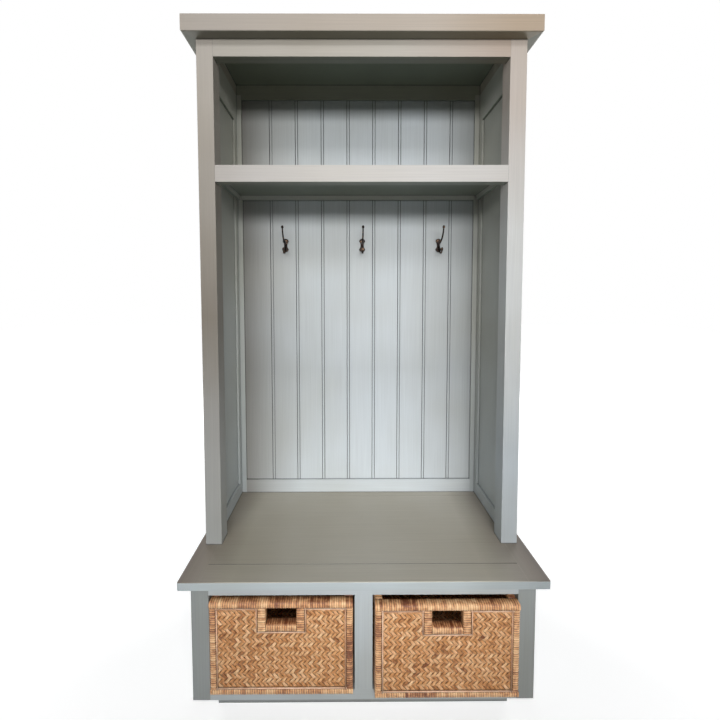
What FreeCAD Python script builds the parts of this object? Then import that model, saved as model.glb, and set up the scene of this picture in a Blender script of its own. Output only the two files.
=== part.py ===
import FreeCAD, Part
import Sketcher
import math
import os
import re

# A hall tree: a bench with two cubbies and two baskets, a panelled hutch with
# a shelf and coat hooks on it, and a deep crown. All sizes are in millimetres.
# The origin is on the floor, under the middle of the whole piece. X runs to
# the right, Y runs from the front to the wall and Z runs up.

DOC = FreeCAD.newDocument("HallTree")
SHEET = DOC.addObject("Spreadsheet::Sheet", "Sizes")

SIZES = [
    # Bench
    ("BenchWidth", 1067, "seat, from end to end"),
    ("BenchDepth", 455, "seat, from front edge to wall"),
    ("SeatHeight", 434, "floor to top of seat"),
    ("SeatThick", 24, "seat boards"),
    ("SeatFrontBoard", 63, "width of the seat's front board"),
    ("SeatBackBoard", 55, "width of the seat's back board"),
    ("SeatEndBoard", 64.5, "width of the seat's end boards"),
    ("SeatCorner", 5, "round of the seat's front corners in plan"),
    ("SeatEase", 2.5, "round of the seat's upper edges"),
    ("SeamChamfer", 1, "chamfer along the seat's open seams"),
    ("SideOverhang", 27, "seat beyond the box at each end"),
    ("FrontOverhang", 26, "seat beyond the box in front"),
    ("PlinthHeight", 48, "plinth below the box"),
    ("PlinthInset", 63, "plinth in from each end of the box"),
    ("PlinthRecess", 30, "plinth back from the front of the box"),
    ("PlinthThick", 18, "plinth boards"),
    ("FaceStile", 52, "width of the outer stiles of the box front"),
    ("FaceMullion", 52.5, "width of the middle stile of the box front"),
    ("FaceTopRail", 38.5, "height of the top rail of the box front"),
    ("FaceBottomRail", 32.5, "height of the bottom rail of the box front"),
    ("FaceThick", 22, "thickness of the box front"),
    ("CaseThick", 18, "side boards and divider of the box"),
    ("FloorThick", 16, "cubby floor"),
    ("BoxBackThick", 6, "back panel of the box"),
    # Hutch
    ("HutchInset", 23.75, "hutch in from each end of the seat"),
    ("HutchSetback", 143, "hutch front back from the seat's front edge"),
    ("HutchHeight", 1599.5, "seat to underside of the crown"),
    ("PostWidth", 51.5, "front posts across"),
    ("PostDepth", 50, "front posts front to back"),
    ("FrameThick", 30, "rails, and legs of the rear corner posts"),
    ("RearLegDepth", 55, "rear corner post along the side"),
    ("RearLegWidth", 48.75, "rear corner post across the back"),
    ("FrontRail", 52, "height of the two front rails"),
    ("SideTopRail", 106, "height of the side top rails"),
    ("SideBottomRail", 48, "height of the side bottom rails"),
    ("BackBottomRail", 53, "height of the back bottom rail"),
    ("BackTopDrop", 18, "back top rail below the crown's underside"),
    ("SidePanelThick", 9, "side panels"),
    ("SidePanelRecess", 8, "side panels out from the frame's inner face"),
    ("PanelGroove", 8, "depth of the grooves that hold panels and planks"),
    ("PanelGap", 0.3, "panel and plank ends short of the groove floor"),
    ("ArrisEase", 1.5, "round of the posts' and rails' outer arrises"),
    # Shelf
    ("ShelfHeight", 1220.5, "seat to top of the shelf and its front rail"),
    ("ShelfThick", 10, "shelf board"),
    ("CleatHeight", 18, "cleats under the shelf"),
    ("CleatThick", 12, "cleats under the shelf"),
    # Bead-board planks
    ("PlankCount", 9, "planks across the back"),
    ("PlankThick", 12, "planks"),
    ("PlankRecess", 6, "plank face back from the back rails' face"),
    ("PlankShift", 16, "first plank wider than the others, and the last narrower"),
    ("BeadWidth", 8.2, "bead along one edge of each plank"),
    ("QuirkWidth", 3, "groove beside the bead"),
    ("QuirkDepth", 2.6, "groove beside the bead"),
    ("JointChamfer", 1.5, "chamfer on each side of a plank joint"),
    ("TongueThick", 4, "plank tongue"),
    ("TongueLength", 6, "plank tongue"),
    ("TongueClearance", 0.2, "play round a plank tongue"),
    # Crown
    ("CrownThick", 50.5, "crown boards"),
    ("CrownOverhang", 32, "crown beyond the posts, in front and at the ends"),
    ("CrownEase", 3, "round of the crown's outer edges"),
    ("RoofThick", 12, "panel let into the top of the crown"),
    ("RoofRebate", 10, "width of the rebate that holds the roof panel"),
    # Coat hooks
    ("HookDrop", 196.5, "shelf's underside to the middle of a hook plate"),
    ("HookPlateThick", 4, "hook plate"),
    ("HookWaist", 12, "width of a hook plate's waist"),
    ("HookLobe", 12.5, "radius of a hook plate's ends"),
    ("HookScrewReach", 14.5, "plate middle to each screw"),
    ("ArmThick", 7, "upper arm, across its flats"),
    ("ArmRise", 7, "plate middle up to the start of the upper arm"),
    ("ArmRoot", 13, "straight start of the upper arm"),
    ("ArmSweep", 58, "radius of the upper arm's bend"),
    ("ArmFall", 0, "degrees that the upper arm's start falls"),
    ("ArmFinish", 80, "degrees that the upper arm's end rises"),
    ("SpurThick", 6.5, "lower arm, across its flats"),
    ("SpurRise", 2, "plate middle up to the start of the lower arm"),
    ("SpurRoot", 41.6, "straight start of the lower arm"),
    ("SpurSweep", 13.5, "radius of the lower arm's bend"),
    ("SpurFall", 52.5, "degrees that the lower arm's start falls"),
    ("SpurFinish", 75, "degrees that the lower arm's end rises"),
    ("BudWide", 10.4, "bud on the end of each arm, across its flats"),
    ("BudLong", 11, "bud on the end of each arm"),
    ("BudShoulder", 1.4, "chamfer round the end of a bud beside its arm"),
    ("BudTip", 2.6, "chamfer round the free end of a bud"),
    ("ScrewRadius", 1.8, "screw shank"),
    ("ScrewBite", 9, "screw shank inside the plank"),
    ("ScrewHead", 3.2, "radius of a screw head"),
    ("ScrewHeadHigh", 1.6, "height of a screw head"),
    ("ScrewClearance", 0.15, "play round a screw shank"),
    # Baskets
    ("BasketPlay", 5.125, "gap beside a basket in its cubby"),
    ("BasketHeadroom", 9.7, "gap over a basket in its cubby"),
    ("BasketLift", 0.3, "running gap under a basket"),
    ("BasketPushRoom", 23, "basket shallower than the box"),
    ("BasketRound", 6, "round of a basket's corners in plan"),
    ("LeftBasketProud", 15, "left basket in front of the box front"),
    ("RightBasketProud", 25, "right basket in front of the box front"),
    ("WallThick", 7, "woven walls"),
    ("BasketFloor", 8, "woven floor"),
    ("EdgeThick", 3.5, "wrapped edging over the woven walls"),
    ("EdgeWidth", 19, "wrapped edging beside a corner"),
    ("EdgeHeight", 17, "wrapped edging along the floor"),
    ("RimHeight", 17, "wrapped top rim"),
    ("RimThick", 24, "wrapped top rim front to back"),
    ("RimRound", 7, "round of the rim's outer edges"),
    ("GripWidth", 89, "hand hole across"),
    ("GripHeight", 49, "hand hole"),
    ("GripBorder", 23.5, "wrapped border beside a hand hole"),
    ("GripSill", 21, "wrapped border under a hand hole"),
]

for row, (alias, value, note) in enumerate(SIZES, start=1):
    SHEET.set(f"A{row}", note)
    SHEET.set(f"B{row}", str(value))
    SHEET.setAlias(f"B{row}", alias)
DOC.recompute()

# Places that several pieces share, worked out from the sizes
HUTCH_WIDE = "(BenchWidth - 2 * HutchInset)"
SEAT_FRONT = "(-BenchDepth / 2)"
WALL = "(BenchDepth / 2)"
BOX_WIDE = "(BenchWidth - 2 * SideOverhang)"
BOX_FRONT = f"({SEAT_FRONT} + FrontOverhang)"
BOX_TOP = "(SeatHeight - SeatThick)"
BOX_HIGH = f"({BOX_TOP} - PlinthHeight)"
CUBBY_FLOOR = "(PlinthHeight + FaceBottomRail)"
BOX_BACK = f"({WALL} - BoxBackThick)"
BOX_INSIDE = f"({BOX_FRONT} + FaceThick)"
CUBBY_WIDE = f"({BOX_WIDE} / 2 - FaceStile - FaceMullion / 2)"
CUBBY_HIGH = f"({BOX_HIGH} - FaceTopRail - FaceBottomRail)"
HUTCH_FRONT = f"({SEAT_FRONT} + HutchSetback)"
HUTCH_INNER = f"({HUTCH_WIDE} / 2 - FrameThick)"
POST_INNER = f"({HUTCH_WIDE} / 2 - PostWidth)"
POST_BACK = f"({HUTCH_FRONT} + PostDepth)"
REAR_INNER = f"({HUTCH_WIDE} / 2 - RearLegWidth)"
REAR_FRONT = f"({WALL} - RearLegDepth)"
BACK_FACE = f"({WALL} - FrameThick)"
PLANK_FACE = f"({BACK_FACE} + PlankRecess)"
CROWN_FOOT = "(SeatHeight + HutchHeight)"
CROWN_TOP = f"({CROWN_FOOT} + CrownThick)"
CROWN_HALF = f"({HUTCH_WIDE} / 2 + CrownOverhang)"
CROWN_FRONT = f"({HUTCH_FRONT} - CrownOverhang)"
CROWN_WIDE = "(CrownOverhang + FrameThick)"
ROOF_FOOT = f"({CROWN_TOP} - RoofThick)"
SHELF_TOP = "(SeatHeight + ShelfHeight)"
SHELF_FOOT = f"({SHELF_TOP} - ShelfThick)"
BACK_TOP_FOOT = f"({CROWN_FOOT} - BackTopDrop)"
PLANK_PITCH = f"(2 * {REAR_INNER} / PlankCount)"
PLANK_START = f"(PlankShift - {REAR_INNER})"
PLANK_TUCK = "(PanelGroove - PanelGap)"
HOOK_LEVEL = f"({SHELF_FOOT} - HookDrop)"
HOOK_PLANKS = (1, 4, 7)
BASKET_WIDE = f"({CUBBY_WIDE} - 2 * BasketPlay)"
BASKET_DEEP = f"({BOX_BACK} - {BOX_FRONT} - BasketPushRoom)"
BASKET_HIGH = f"({CUBBY_HIGH} - BasketHeadroom - BasketLift)"

# Every finished sub-part
PIECES = []


def on_sheet(text):
    """An expression with each size name turned into its cell in the sheet."""
    return re.sub(r"\b([A-Z][A-Za-z]+)\b", r"Sizes.\1", text)


def number(text):
    """The value of an expression, as a plain number."""
    return float(SHEET.evalExpression(on_sheet(text)))


def new_body(name, place):
    """An empty body, its place bound to three expressions."""
    body = DOC.addObject("PartDesign::Body", name)
    body.Label = name
    for axis, text in zip("xyz", place):
        body.setExpression(f"Placement.Base.{axis}", on_sheet(text))
    PIECES.append(body)
    return body


def new_sketch(body, plane, lift="0"):
    """A sketch on one of the body's own planes, moved along its normal."""
    sketch = body.newObject("Sketcher::SketchObject", body.Name + "_sketch")
    support = [f for f in body.Origin.OriginFeatures if f.Role == plane]
    sketch.AttachmentSupport = (support[0], [""])
    sketch.MapMode = "FlatFace"
    if lift != "0":
        sketch.setExpression("AttachmentOffset.Base.z", on_sheet(lift))
    return sketch


def pin_point(sketch, line, corner, across, up):
    """Bind one point of a sketch to its two coordinates."""
    axes = (("DistanceX", across, -2), ("DistanceY", up, -1))
    for kind, text, axis in axes:
        if text == "0":
            sketch.addConstraint(
                Sketcher.Constraint("PointOnObject", line, corner, axis)
            )
            continue
        index = sketch.addConstraint(
            Sketcher.Constraint(kind, -1, 1, line, corner, number(text))
        )
        sketch.setExpression(f"Constraints[{index}]", on_sheet(text))


def polygon(body, plane, corners, lift="0"):
    """A closed outline through corners, each a pair of expressions."""
    sketch = new_sketch(body, plane, lift)
    spots = [FreeCAD.Vector(number(a), number(b), 0) for a, b in corners]
    lines = [
        sketch.addGeometry(Part.LineSegment(spot, spots[(n + 1) % len(spots)]))
        for n, spot in enumerate(spots)
    ]
    for n, line in enumerate(lines):
        after = lines[(n + 1) % len(lines)]
        sketch.addConstraint(Sketcher.Constraint("Coincident", line, 2, after, 1))
    for line, (across, up) in zip(lines, corners):
        pin_point(sketch, line, 1, across, up)
    return sketch


def rectangle(body, plane, low, high, lift="0"):
    """A rectangle from its low corner to its high corner."""
    (a, b), (c, d) = low, high
    return polygon(body, plane, [(a, b), (c, b), (c, d), (a, d)], lift)


def circles(body, plane, rounds, lift="0"):
    """Circles in one sketch, each given as (across, up, radius)."""
    sketch = new_sketch(body, plane, lift)
    for across, up, radius in rounds:
        centre = FreeCAD.Vector(number(across), number(up), 0)
        size = number(radius)
        ring = sketch.addGeometry(
            Part.Circle(centre, FreeCAD.Vector(0, 0, 1), size)
        )
        pin_point(sketch, ring, 3, across, up)
        index = sketch.addConstraint(Sketcher.Constraint("Radius", ring, size))
        sketch.setExpression(f"Constraints[{index}]", on_sheet(radius))
    return sketch


def pad(body, sketch, length, backwards=False):
    """Push a sketch out into a solid."""
    feature = body.newObject("PartDesign::Pad", body.Name + "_pad")
    feature.Profile = sketch
    feature.Reversed = backwards
    feature.setExpression("Length", on_sheet(length))
    DOC.recompute()
    return feature


def pocket(body, sketch, depth, backwards=False):
    """Cut a sketch into the solid, and stop if nothing came away."""
    before = body.Shape.Volume
    feature = body.newObject("PartDesign::Pocket", body.Name + "_pocket")
    feature.Profile = sketch
    feature.Reversed = backwards
    feature.setExpression("Length", on_sheet(depth))
    DOC.recompute()
    if body.Shape.Volume > before - 0.001:
        raise RuntimeError(f"{body.Label}: a pocket cut nothing")
    return feature


def ease(body, radius, wanted, kind="Fillet"):
    """Round or chamfer the straight edges that wanted(middle, slope) picks."""
    base = body.Tip
    names = []
    for n, edge in enumerate(base.Shape.Edges, start=1):
        middle = edge.valueAt((edge.FirstParameter + edge.LastParameter) / 2)
        slope = edge.tangentAt(edge.FirstParameter)
        if edge.Curve.TypeId == "Part::GeomLine" and wanted(middle, slope):
            names.append(f"Edge{n}")
    if not names:
        raise RuntimeError(f"{body.Label}: no edge to ease")
    feature = body.newObject(f"PartDesign::{kind}", body.Name + "_ease")
    feature.Base = (base, names)
    size = "Radius" if kind == "Fillet" else "Size"
    feature.setExpression(size, on_sheet(radius))
    DOC.recompute()
    if not feature.Shape.isValid():
        raise RuntimeError(f"{body.Label}: an edge could not be eased")
    return feature


def near(value, target):
    """True where two sizes are the same."""
    return abs(value - target) < 0.01


def upright(middle, slope):
    """Picks the vertical edges."""
    return abs(slope.z) > 0.99


def board(name, size, place):
    """A plain board: its plan is drawn and pushed up to its height."""
    wide, deep, high = size
    body = new_body(name, place)
    pad(body, rectangle(body, "XY_Plane", ("0", "0"), (wide, deep)), high)
    return body


def handed(corners, wide, right):
    """A plan drawn for the right side, turned over for the left side."""
    if right:
        return corners
    return [(turned(across, wide), up) for across, up in corners]


def turned(across, wide):
    """A distance from one edge, as the distance from the other edge."""
    if across == "0":
        return wide
    return "0" if across == wide else f"({wide} - {across})"


def each_side():
    """The two sides: a word for the name, and whether it is the right."""
    return (("left", False), ("right", True))


def side_place(inner, outer, right):
    """The low X of a piece that spans inner to outer on one side."""
    return inner if right else f"(-{outer})"


def make_plinth():
    """The recessed plinth that the box stands on."""
    half = f"({BOX_WIDE} / 2 - PlinthInset)"
    front = f"({BOX_FRONT} + PlinthRecess)"
    high = f"({CUBBY_FLOOR} - FloorThick)"
    face = board(
        "plinth_front", (f"(2 * {half})", "PlinthThick", high), (f"-{half}", front, "0")
    )
    outer = number(f"2 * {half}")
    ease(
        face,
        "ArrisEase",
        lambda m, s: upright(m, s) and near(m.y, 0) and (near(m.x, 0) or near(m.x, outer)),
    )
    deep = f"({BOX_BACK} - {front} - PlinthThick)"
    for side, right in each_side():
        low = side_place(f"({half} - PlinthThick)", half, right)
        board(
            f"plinth_{side}",
            ("PlinthThick", deep, high),
            (low, f"{front} + PlinthThick", "0"),
        )


def make_box():
    """The box of the bench: floor, sides, divider and back."""
    inner = f"({BOX_WIDE} - 2 * CaseThick)"
    deep = f"({BOX_BACK} - {BOX_INSIDE})"
    board(
        "cubby_floor",
        (inner, deep, "FloorThick"),
        (f"-{inner} / 2", BOX_INSIDE, f"{CUBBY_FLOOR} - FloorThick"),
    )
    for side, right in each_side():
        low = side_place(f"({inner} / 2)", f"({BOX_WIDE} / 2)", right)
        board(
            f"box_side_{side}",
            ("CaseThick", f"({WALL} - {BOX_INSIDE})", BOX_HIGH),
            (low, BOX_INSIDE, "PlinthHeight"),
        )
    board(
        "box_divider",
        ("CaseThick", deep, f"({BOX_TOP} - {CUBBY_FLOOR})"),
        ("-CaseThick / 2", BOX_INSIDE, CUBBY_FLOOR),
    )
    board(
        "box_back",
        (inner, "BoxBackThick", BOX_HIGH),
        (f"-{inner} / 2", BOX_BACK, "PlinthHeight"),
    )


def make_box_front():
    """The face frame round the two cubbies."""
    between = f"({BOX_WIDE} - 2 * FaceStile)"
    for side, right in each_side():
        low = side_place(f"({between} / 2)", f"({BOX_WIDE} / 2)", right)
        stile = board(
            f"box_stile_{side}",
            ("FaceStile", "FaceThick", BOX_HIGH),
            (low, BOX_FRONT, "PlinthHeight"),
        )
        corner = number("FaceStile") if right else 0.0
        ease(
            stile,
            "ArrisEase",
            lambda m, s: upright(m, s) and near(m.x, corner) and near(m.y, 0),
        )
    board(
        "box_top_rail",
        (between, "FaceThick", "FaceTopRail"),
        (f"-{between} / 2", BOX_FRONT, f"{BOX_TOP} - FaceTopRail"),
    )
    board(
        "box_bottom_rail",
        (between, "FaceThick", "FaceBottomRail"),
        (f"-{between} / 2", BOX_FRONT, "PlinthHeight"),
    )
    board(
        "box_mullion",
        ("FaceMullion", "FaceThick", f"{CUBBY_HIGH}"),
        ("-FaceMullion / 2", BOX_FRONT, CUBBY_FLOOR),
    )


def make_seat():
    """The framed seat: end boards, front and back boards and a panel."""
    between = "(BenchWidth - 2 * SeatEndBoard)"
    middle = "(BenchDepth - SeatFrontBoard - SeatBackBoard)"
    top = number("SeatThick")

    def along(m, s):
        return abs(s.x) > 0.99

    for side, right in each_side():
        low = side_place(f"({between} / 2)", "(BenchWidth / 2)", right)
        end = board(
            f"seat_end_{side}",
            ("SeatEndBoard", "BenchDepth", "SeatThick"),
            (low, SEAT_FRONT, BOX_TOP),
        )
        outer = number("SeatEndBoard") if right else 0.0
        ease(
            end,
            "SeatCorner",
            lambda m, s: upright(m, s) and near(m.x, outer) and near(m.y, 0),
        )
        ease(
            end,
            "SeatEase",
            lambda m, s: near(m.z, top) and (near(m.x, outer) or near(m.y, 0)),
        )
    front = board(
        "seat_front",
        (between, "SeatFrontBoard", "SeatThick"),
        (f"-{between} / 2", SEAT_FRONT, BOX_TOP),
    )
    ease(
        front,
        "SeatEase",
        lambda m, s: along(m, s) and near(m.y, 0) and near(m.z, top),
    )
    seam = number("SeatFrontBoard")
    ease(
        front,
        "SeamChamfer",
        lambda m, s: along(m, s) and near(m.y, seam) and near(m.z, top),
        "Chamfer",
    )
    panel = board(
        "seat_panel",
        (between, middle, "SeatThick"),
        (f"-{between} / 2", f"{SEAT_FRONT} + SeatFrontBoard", BOX_TOP),
    )
    ease(panel, "SeamChamfer", lambda m, s: along(m, s) and near(m.z, top), "Chamfer")
    back = board(
        "seat_back",
        (between, "SeatBackBoard", "SeatThick"),
        (f"-{between} / 2", f"{WALL} - SeatBackBoard", BOX_TOP),
    )
    ease(
        back,
        "SeamChamfer",
        lambda m, s: along(m, s) and near(m.y, 0) and near(m.z, top),
        "Chamfer",
    )


def make_front_posts():
    """Front posts, grooved behind for the side panels and rails."""
    groove = "(PostWidth - FrameThick + SidePanelRecess)"
    plan = [
        ("0", "0"),
        ("PostWidth", "0"),
        ("PostWidth", "PostDepth"),
        (f"({groove} + SidePanelThick)", "PostDepth"),
        (f"({groove} + SidePanelThick)", "(PostDepth - PanelGroove)"),
        (groove, "(PostDepth - PanelGroove)"),
        (groove, "PostDepth"),
        ("0", "PostDepth"),
    ]
    wide = number("PostWidth")
    for side, right in each_side():
        low = side_place(POST_INNER, f"({HUTCH_WIDE} / 2)", right)
        post = new_body(f"front_post_{side}", (low, HUTCH_FRONT, "SeatHeight"))
        pad(post, polygon(post, "XY_Plane", handed(plan, "PostWidth", right)), "HutchHeight")
        ease(
            post,
            "ArrisEase",
            lambda m, s: upright(m, s) and near(m.y, 0) and (near(m.x, 0) or near(m.x, wide)),
        )


def make_rear_posts():
    """Rear corner posts, L-shaped in plan and grooved on both legs."""
    step = "(RearLegWidth - FrameThick)"
    lip = "(RearLegDepth - FrameThick)"
    slot = f"({step} + SidePanelRecess)"
    shelf = f"({lip} + PlankRecess)"
    plan = [
        (step, "0"),
        (slot, "0"),
        (slot, "PanelGroove"),
        (f"({slot} + SidePanelThick)", "PanelGroove"),
        (f"({slot} + SidePanelThick)", "0"),
        ("RearLegWidth", "0"),
        ("RearLegWidth", "RearLegDepth"),
        ("0", "RearLegDepth"),
        ("0", f"({shelf} + PlankThick)"),
        ("PanelGroove", f"({shelf} + PlankThick)"),
        ("PanelGroove", shelf),
        ("0", shelf),
        ("0", lip),
        (step, lip),
    ]
    for side, right in each_side():
        low = side_place(REAR_INNER, f"({HUTCH_WIDE} / 2)", right)
        post = new_body(f"rear_post_{side}", (low, REAR_FRONT, "SeatHeight"))
        pad(
            post,
            polygon(post, "XY_Plane", handed(plan, "RearLegWidth", right)),
            "HutchHeight",
        )


def make_side_rail(name, right, high, foot, groove_on_top):
    """A side rail with stub tenons at both ends and a panel groove."""
    run = f"({REAR_FRONT} - {POST_BACK})"
    tenon = PLANK_TUCK
    inner, outer = "SidePanelRecess", "(SidePanelRecess + SidePanelThick)"
    start, end = tenon, f"({tenon} + {run})"
    tip = f"({run} + 2 * {tenon})"
    plan = [
        ("0", start),
        (inner, start),
        (inner, "0"),
        (outer, "0"),
        (outer, start),
        ("FrameThick", start),
        ("FrameThick", end),
        (outer, end),
        (outer, tip),
        (inner, tip),
        (inner, end),
        ("0", end),
    ]
    low = side_place(HUTCH_INNER, f"({HUTCH_WIDE} / 2)", right)
    rail = new_body(name, (low, f"{POST_BACK} - {tenon}", foot))
    pad(rail, polygon(rail, "XY_Plane", handed(plan, "FrameThick", right)), high)
    channel = handed([(inner, "0"), (outer, "0"), (outer, tip), (inner, tip)], "FrameThick", right)
    lift = high if groove_on_top else "0"
    cut = polygon(rail, "XY_Plane", channel, lift)
    pocket(rail, cut, "PanelGroove", backwards=not groove_on_top)


def make_side_frames():
    """Side rails and the panels that they hold."""
    top_foot = f"({CROWN_FOOT} - SideTopRail)"
    panel_foot = f"(SeatHeight + SideBottomRail - {PLANK_TUCK})"
    panel_high = f"({top_foot} + {PLANK_TUCK} - {panel_foot})"
    panel_deep = f"({REAR_FRONT} - {POST_BACK} + 2 * {PLANK_TUCK})"
    inner = f"({HUTCH_INNER} + SidePanelRecess)"
    outer = f"({inner} + SidePanelThick)"
    for side, right in each_side():
        make_side_rail(f"side_top_rail_{side}", right, "SideTopRail", top_foot, False)
        make_side_rail(f"side_bottom_rail_{side}", right, "SideBottomRail", "SeatHeight", True)
        board(
            f"side_panel_{side}",
            ("SidePanelThick", panel_deep, panel_high),
            (side_place(inner, outer, right), f"{POST_BACK} - {PLANK_TUCK}", panel_foot),
        )


def make_front_rails():
    """The rail under the crown and the rail along the shelf."""
    between = f"(2 * {POST_INNER})"
    feet = {
        "front_top_rail": f"({CROWN_FOOT} - FrontRail)",
        "front_shelf_rail": f"({SHELF_TOP} - FrontRail)",
    }
    for name, foot in feet.items():
        rail = board(
            name, (between, "FrameThick", "FrontRail"), (f"-{POST_INNER}", HUTCH_FRONT, foot)
        )
        ease(
            rail,
            "ArrisEase",
            lambda m, s: abs(s.x) > 0.99 and near(m.y, 0) and near(m.z, 0),
        )


def make_shelf():
    """The shelf, notched round all four posts, on three cleats."""
    behind = f"({HUTCH_FRONT} + FrameThick)"
    wide = f"(2 * {HUTCH_INNER})"
    ear = f"({HUTCH_INNER} - {POST_INNER})"
    tail = f"({HUTCH_INNER} - {REAR_INNER})"
    neck = "(PostDepth - FrameThick)"
    lap = f"({BACK_FACE} - {behind})"
    deep = f"({PLANK_FACE} - {behind})"
    plan = [
        (ear, "0"),
        (f"({wide} - {ear})", "0"),
        (f"({wide} - {ear})", neck),
        (wide, neck),
        (wide, lap),
        (f"({wide} - {tail})", lap),
        (f"({wide} - {tail})", deep),
        (tail, deep),
        (tail, lap),
        ("0", lap),
        ("0", neck),
        (ear, neck),
    ]
    shelf = new_body("shelf", (f"-{HUTCH_INNER}", behind, SHELF_FOOT))
    pad(shelf, polygon(shelf, "XY_Plane", plan), "ShelfThick")

    foot = f"({SHELF_FOOT} - CleatHeight)"
    board(
        "shelf_cleat_back",
        (f"(2 * {REAR_INNER})", "CleatThick", "CleatHeight"),
        (f"-{REAR_INNER}", f"{PLANK_FACE} - CleatThick", foot),
    )
    run = f"({PLANK_FACE} - CleatThick - {POST_BACK})"
    for side, right in each_side():
        low = side_place(f"({HUTCH_INNER} - CleatThick)", HUTCH_INNER, right)
        board(
            f"shelf_cleat_{side}",
            ("CleatThick", run, "CleatHeight"),
            (low, POST_BACK, foot),
        )


def make_back_rails():
    """Back rails, grooved for the ends of the planks."""
    front, back = "PlankRecess", "(PlankRecess + PlankThick)"
    bottom = board(
        "back_bottom_rail",
        (f"(2 * {REAR_INNER})", "FrameThick", "BackBottomRail"),
        (f"-{REAR_INNER}", BACK_FACE, "SeatHeight"),
    )
    long = f"(2 * {REAR_INNER})"
    cut = rectangle(bottom, "XY_Plane", ("0", front), (long, back), "BackBottomRail")
    pocket(bottom, cut, "PanelGroove")

    # The top rail is shouldered: its upper half runs over the corner posts.
    shoulder = f"({HUTCH_INNER} - {REAR_INNER})"
    wide = f"(2 * {HUTCH_INNER})"
    high = f"({ROOF_FOOT} - {BACK_TOP_FOOT})"
    face = [
        (shoulder, "0"),
        (f"({wide} - {shoulder})", "0"),
        (f"({wide} - {shoulder})", "BackTopDrop"),
        (wide, "BackTopDrop"),
        (wide, high),
        ("0", high),
        ("0", "BackTopDrop"),
        (shoulder, "BackTopDrop"),
    ]
    top = new_body("back_top_rail", (f"-{HUTCH_INNER}", BACK_FACE, BACK_TOP_FOOT))
    pad(top, polygon(top, "XZ_Plane", face), "FrameThick", backwards=True)
    cut = rectangle(top, "XY_Plane", ("0", front), (wide, back))
    pocket(top, cut, "PanelGroove", backwards=True)


def plank_plan(first, last):
    """A plank's cross-section: groove on the left, bead and tongue right.

    The first and last planks have a plain edge, which is tucked into the
    groove of the corner post.
    """
    tuck = f"({PLANK_TUCK} + PlankShift)" if first else "0"

    def across(text):
        return text if tuck == "0" else f"({tuck} + {text})"

    middle = "PlankThick / 2"
    groove_low = f"({middle} - TongueThick / 2 - TongueClearance)"
    groove_high = f"({middle} + TongueThick / 2 + TongueClearance)"
    groove_deep = "(TongueLength + TongueClearance)"
    pitch = PLANK_PITCH
    if first:
        left = [("0", "PlankThick"), ("0", "0")]
    else:
        left = [
            ("0", "PlankThick"),
            ("0", groove_high),
            (groove_deep, groove_high),
            (groove_deep, groove_low),
            ("0", groove_low),
            ("0", "JointChamfer"),
            ("JointChamfer", "0"),
        ]
    if last:
        edge = across(f"({pitch} - PlankShift + {PLANK_TUCK})")
        return left + [(edge, "0"), (edge, "PlankThick")]
    quirk = f"({pitch} - BeadWidth - QuirkWidth)"
    right = [
        (quirk, "0"),
        (f"({quirk} + QuirkWidth / 2)", "QuirkDepth"),
        (f"({quirk} + QuirkWidth)", "0"),
        (f"({pitch} - JointChamfer)", "0"),
        (pitch, "JointChamfer"),
        (pitch, f"({middle} - TongueThick / 2)"),
        (f"({pitch} + TongueLength)", f"({middle} - TongueThick / 2)"),
        (f"({pitch} + TongueLength)", f"({middle} + TongueThick / 2)"),
        (pitch, f"({middle} + TongueThick / 2)"),
        (pitch, "PlankThick"),
    ]
    return left + [(across(x), y) for x, y in right]


def make_planks():
    """The bead-board back: planks joined edge to edge."""
    count = int(number("PlankCount"))
    foot = f"(SeatHeight + BackBottomRail - {PLANK_TUCK})"
    high = f"({BACK_TOP_FOOT} + {PLANK_TUCK} - {foot})"
    for n in range(count):
        first, last = n == 0, n == count - 1
        low = f"({PLANK_START} + {n} * {PLANK_PITCH})"
        if first:
            low = f"(-{REAR_INNER} - {PLANK_TUCK})"
        plank = new_body(f"back_plank_{n + 1}", (low, PLANK_FACE, foot))
        pad(plank, polygon(plank, "XY_Plane", plank_plan(first, last)), high)
        if n in HOOK_PLANKS:
            drill_plank(plank, foot)


def drill_plank(plank, foot):
    """Pilot holes for the two screws of a coat hook."""
    middle = f"({PLANK_PITCH} / 2)"
    level = f"({HOOK_LEVEL} - {foot})"
    bore = "(ScrewRadius + ScrewClearance)"
    holes = circles(
        plank,
        "XZ_Plane",
        [
            (middle, f"({level} - HookScrewReach)", bore),
            (middle, f"({level} + HookScrewReach)", bore),
        ],
    )
    pocket(plank, holes, "(ScrewBite + PanelGap)")


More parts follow.
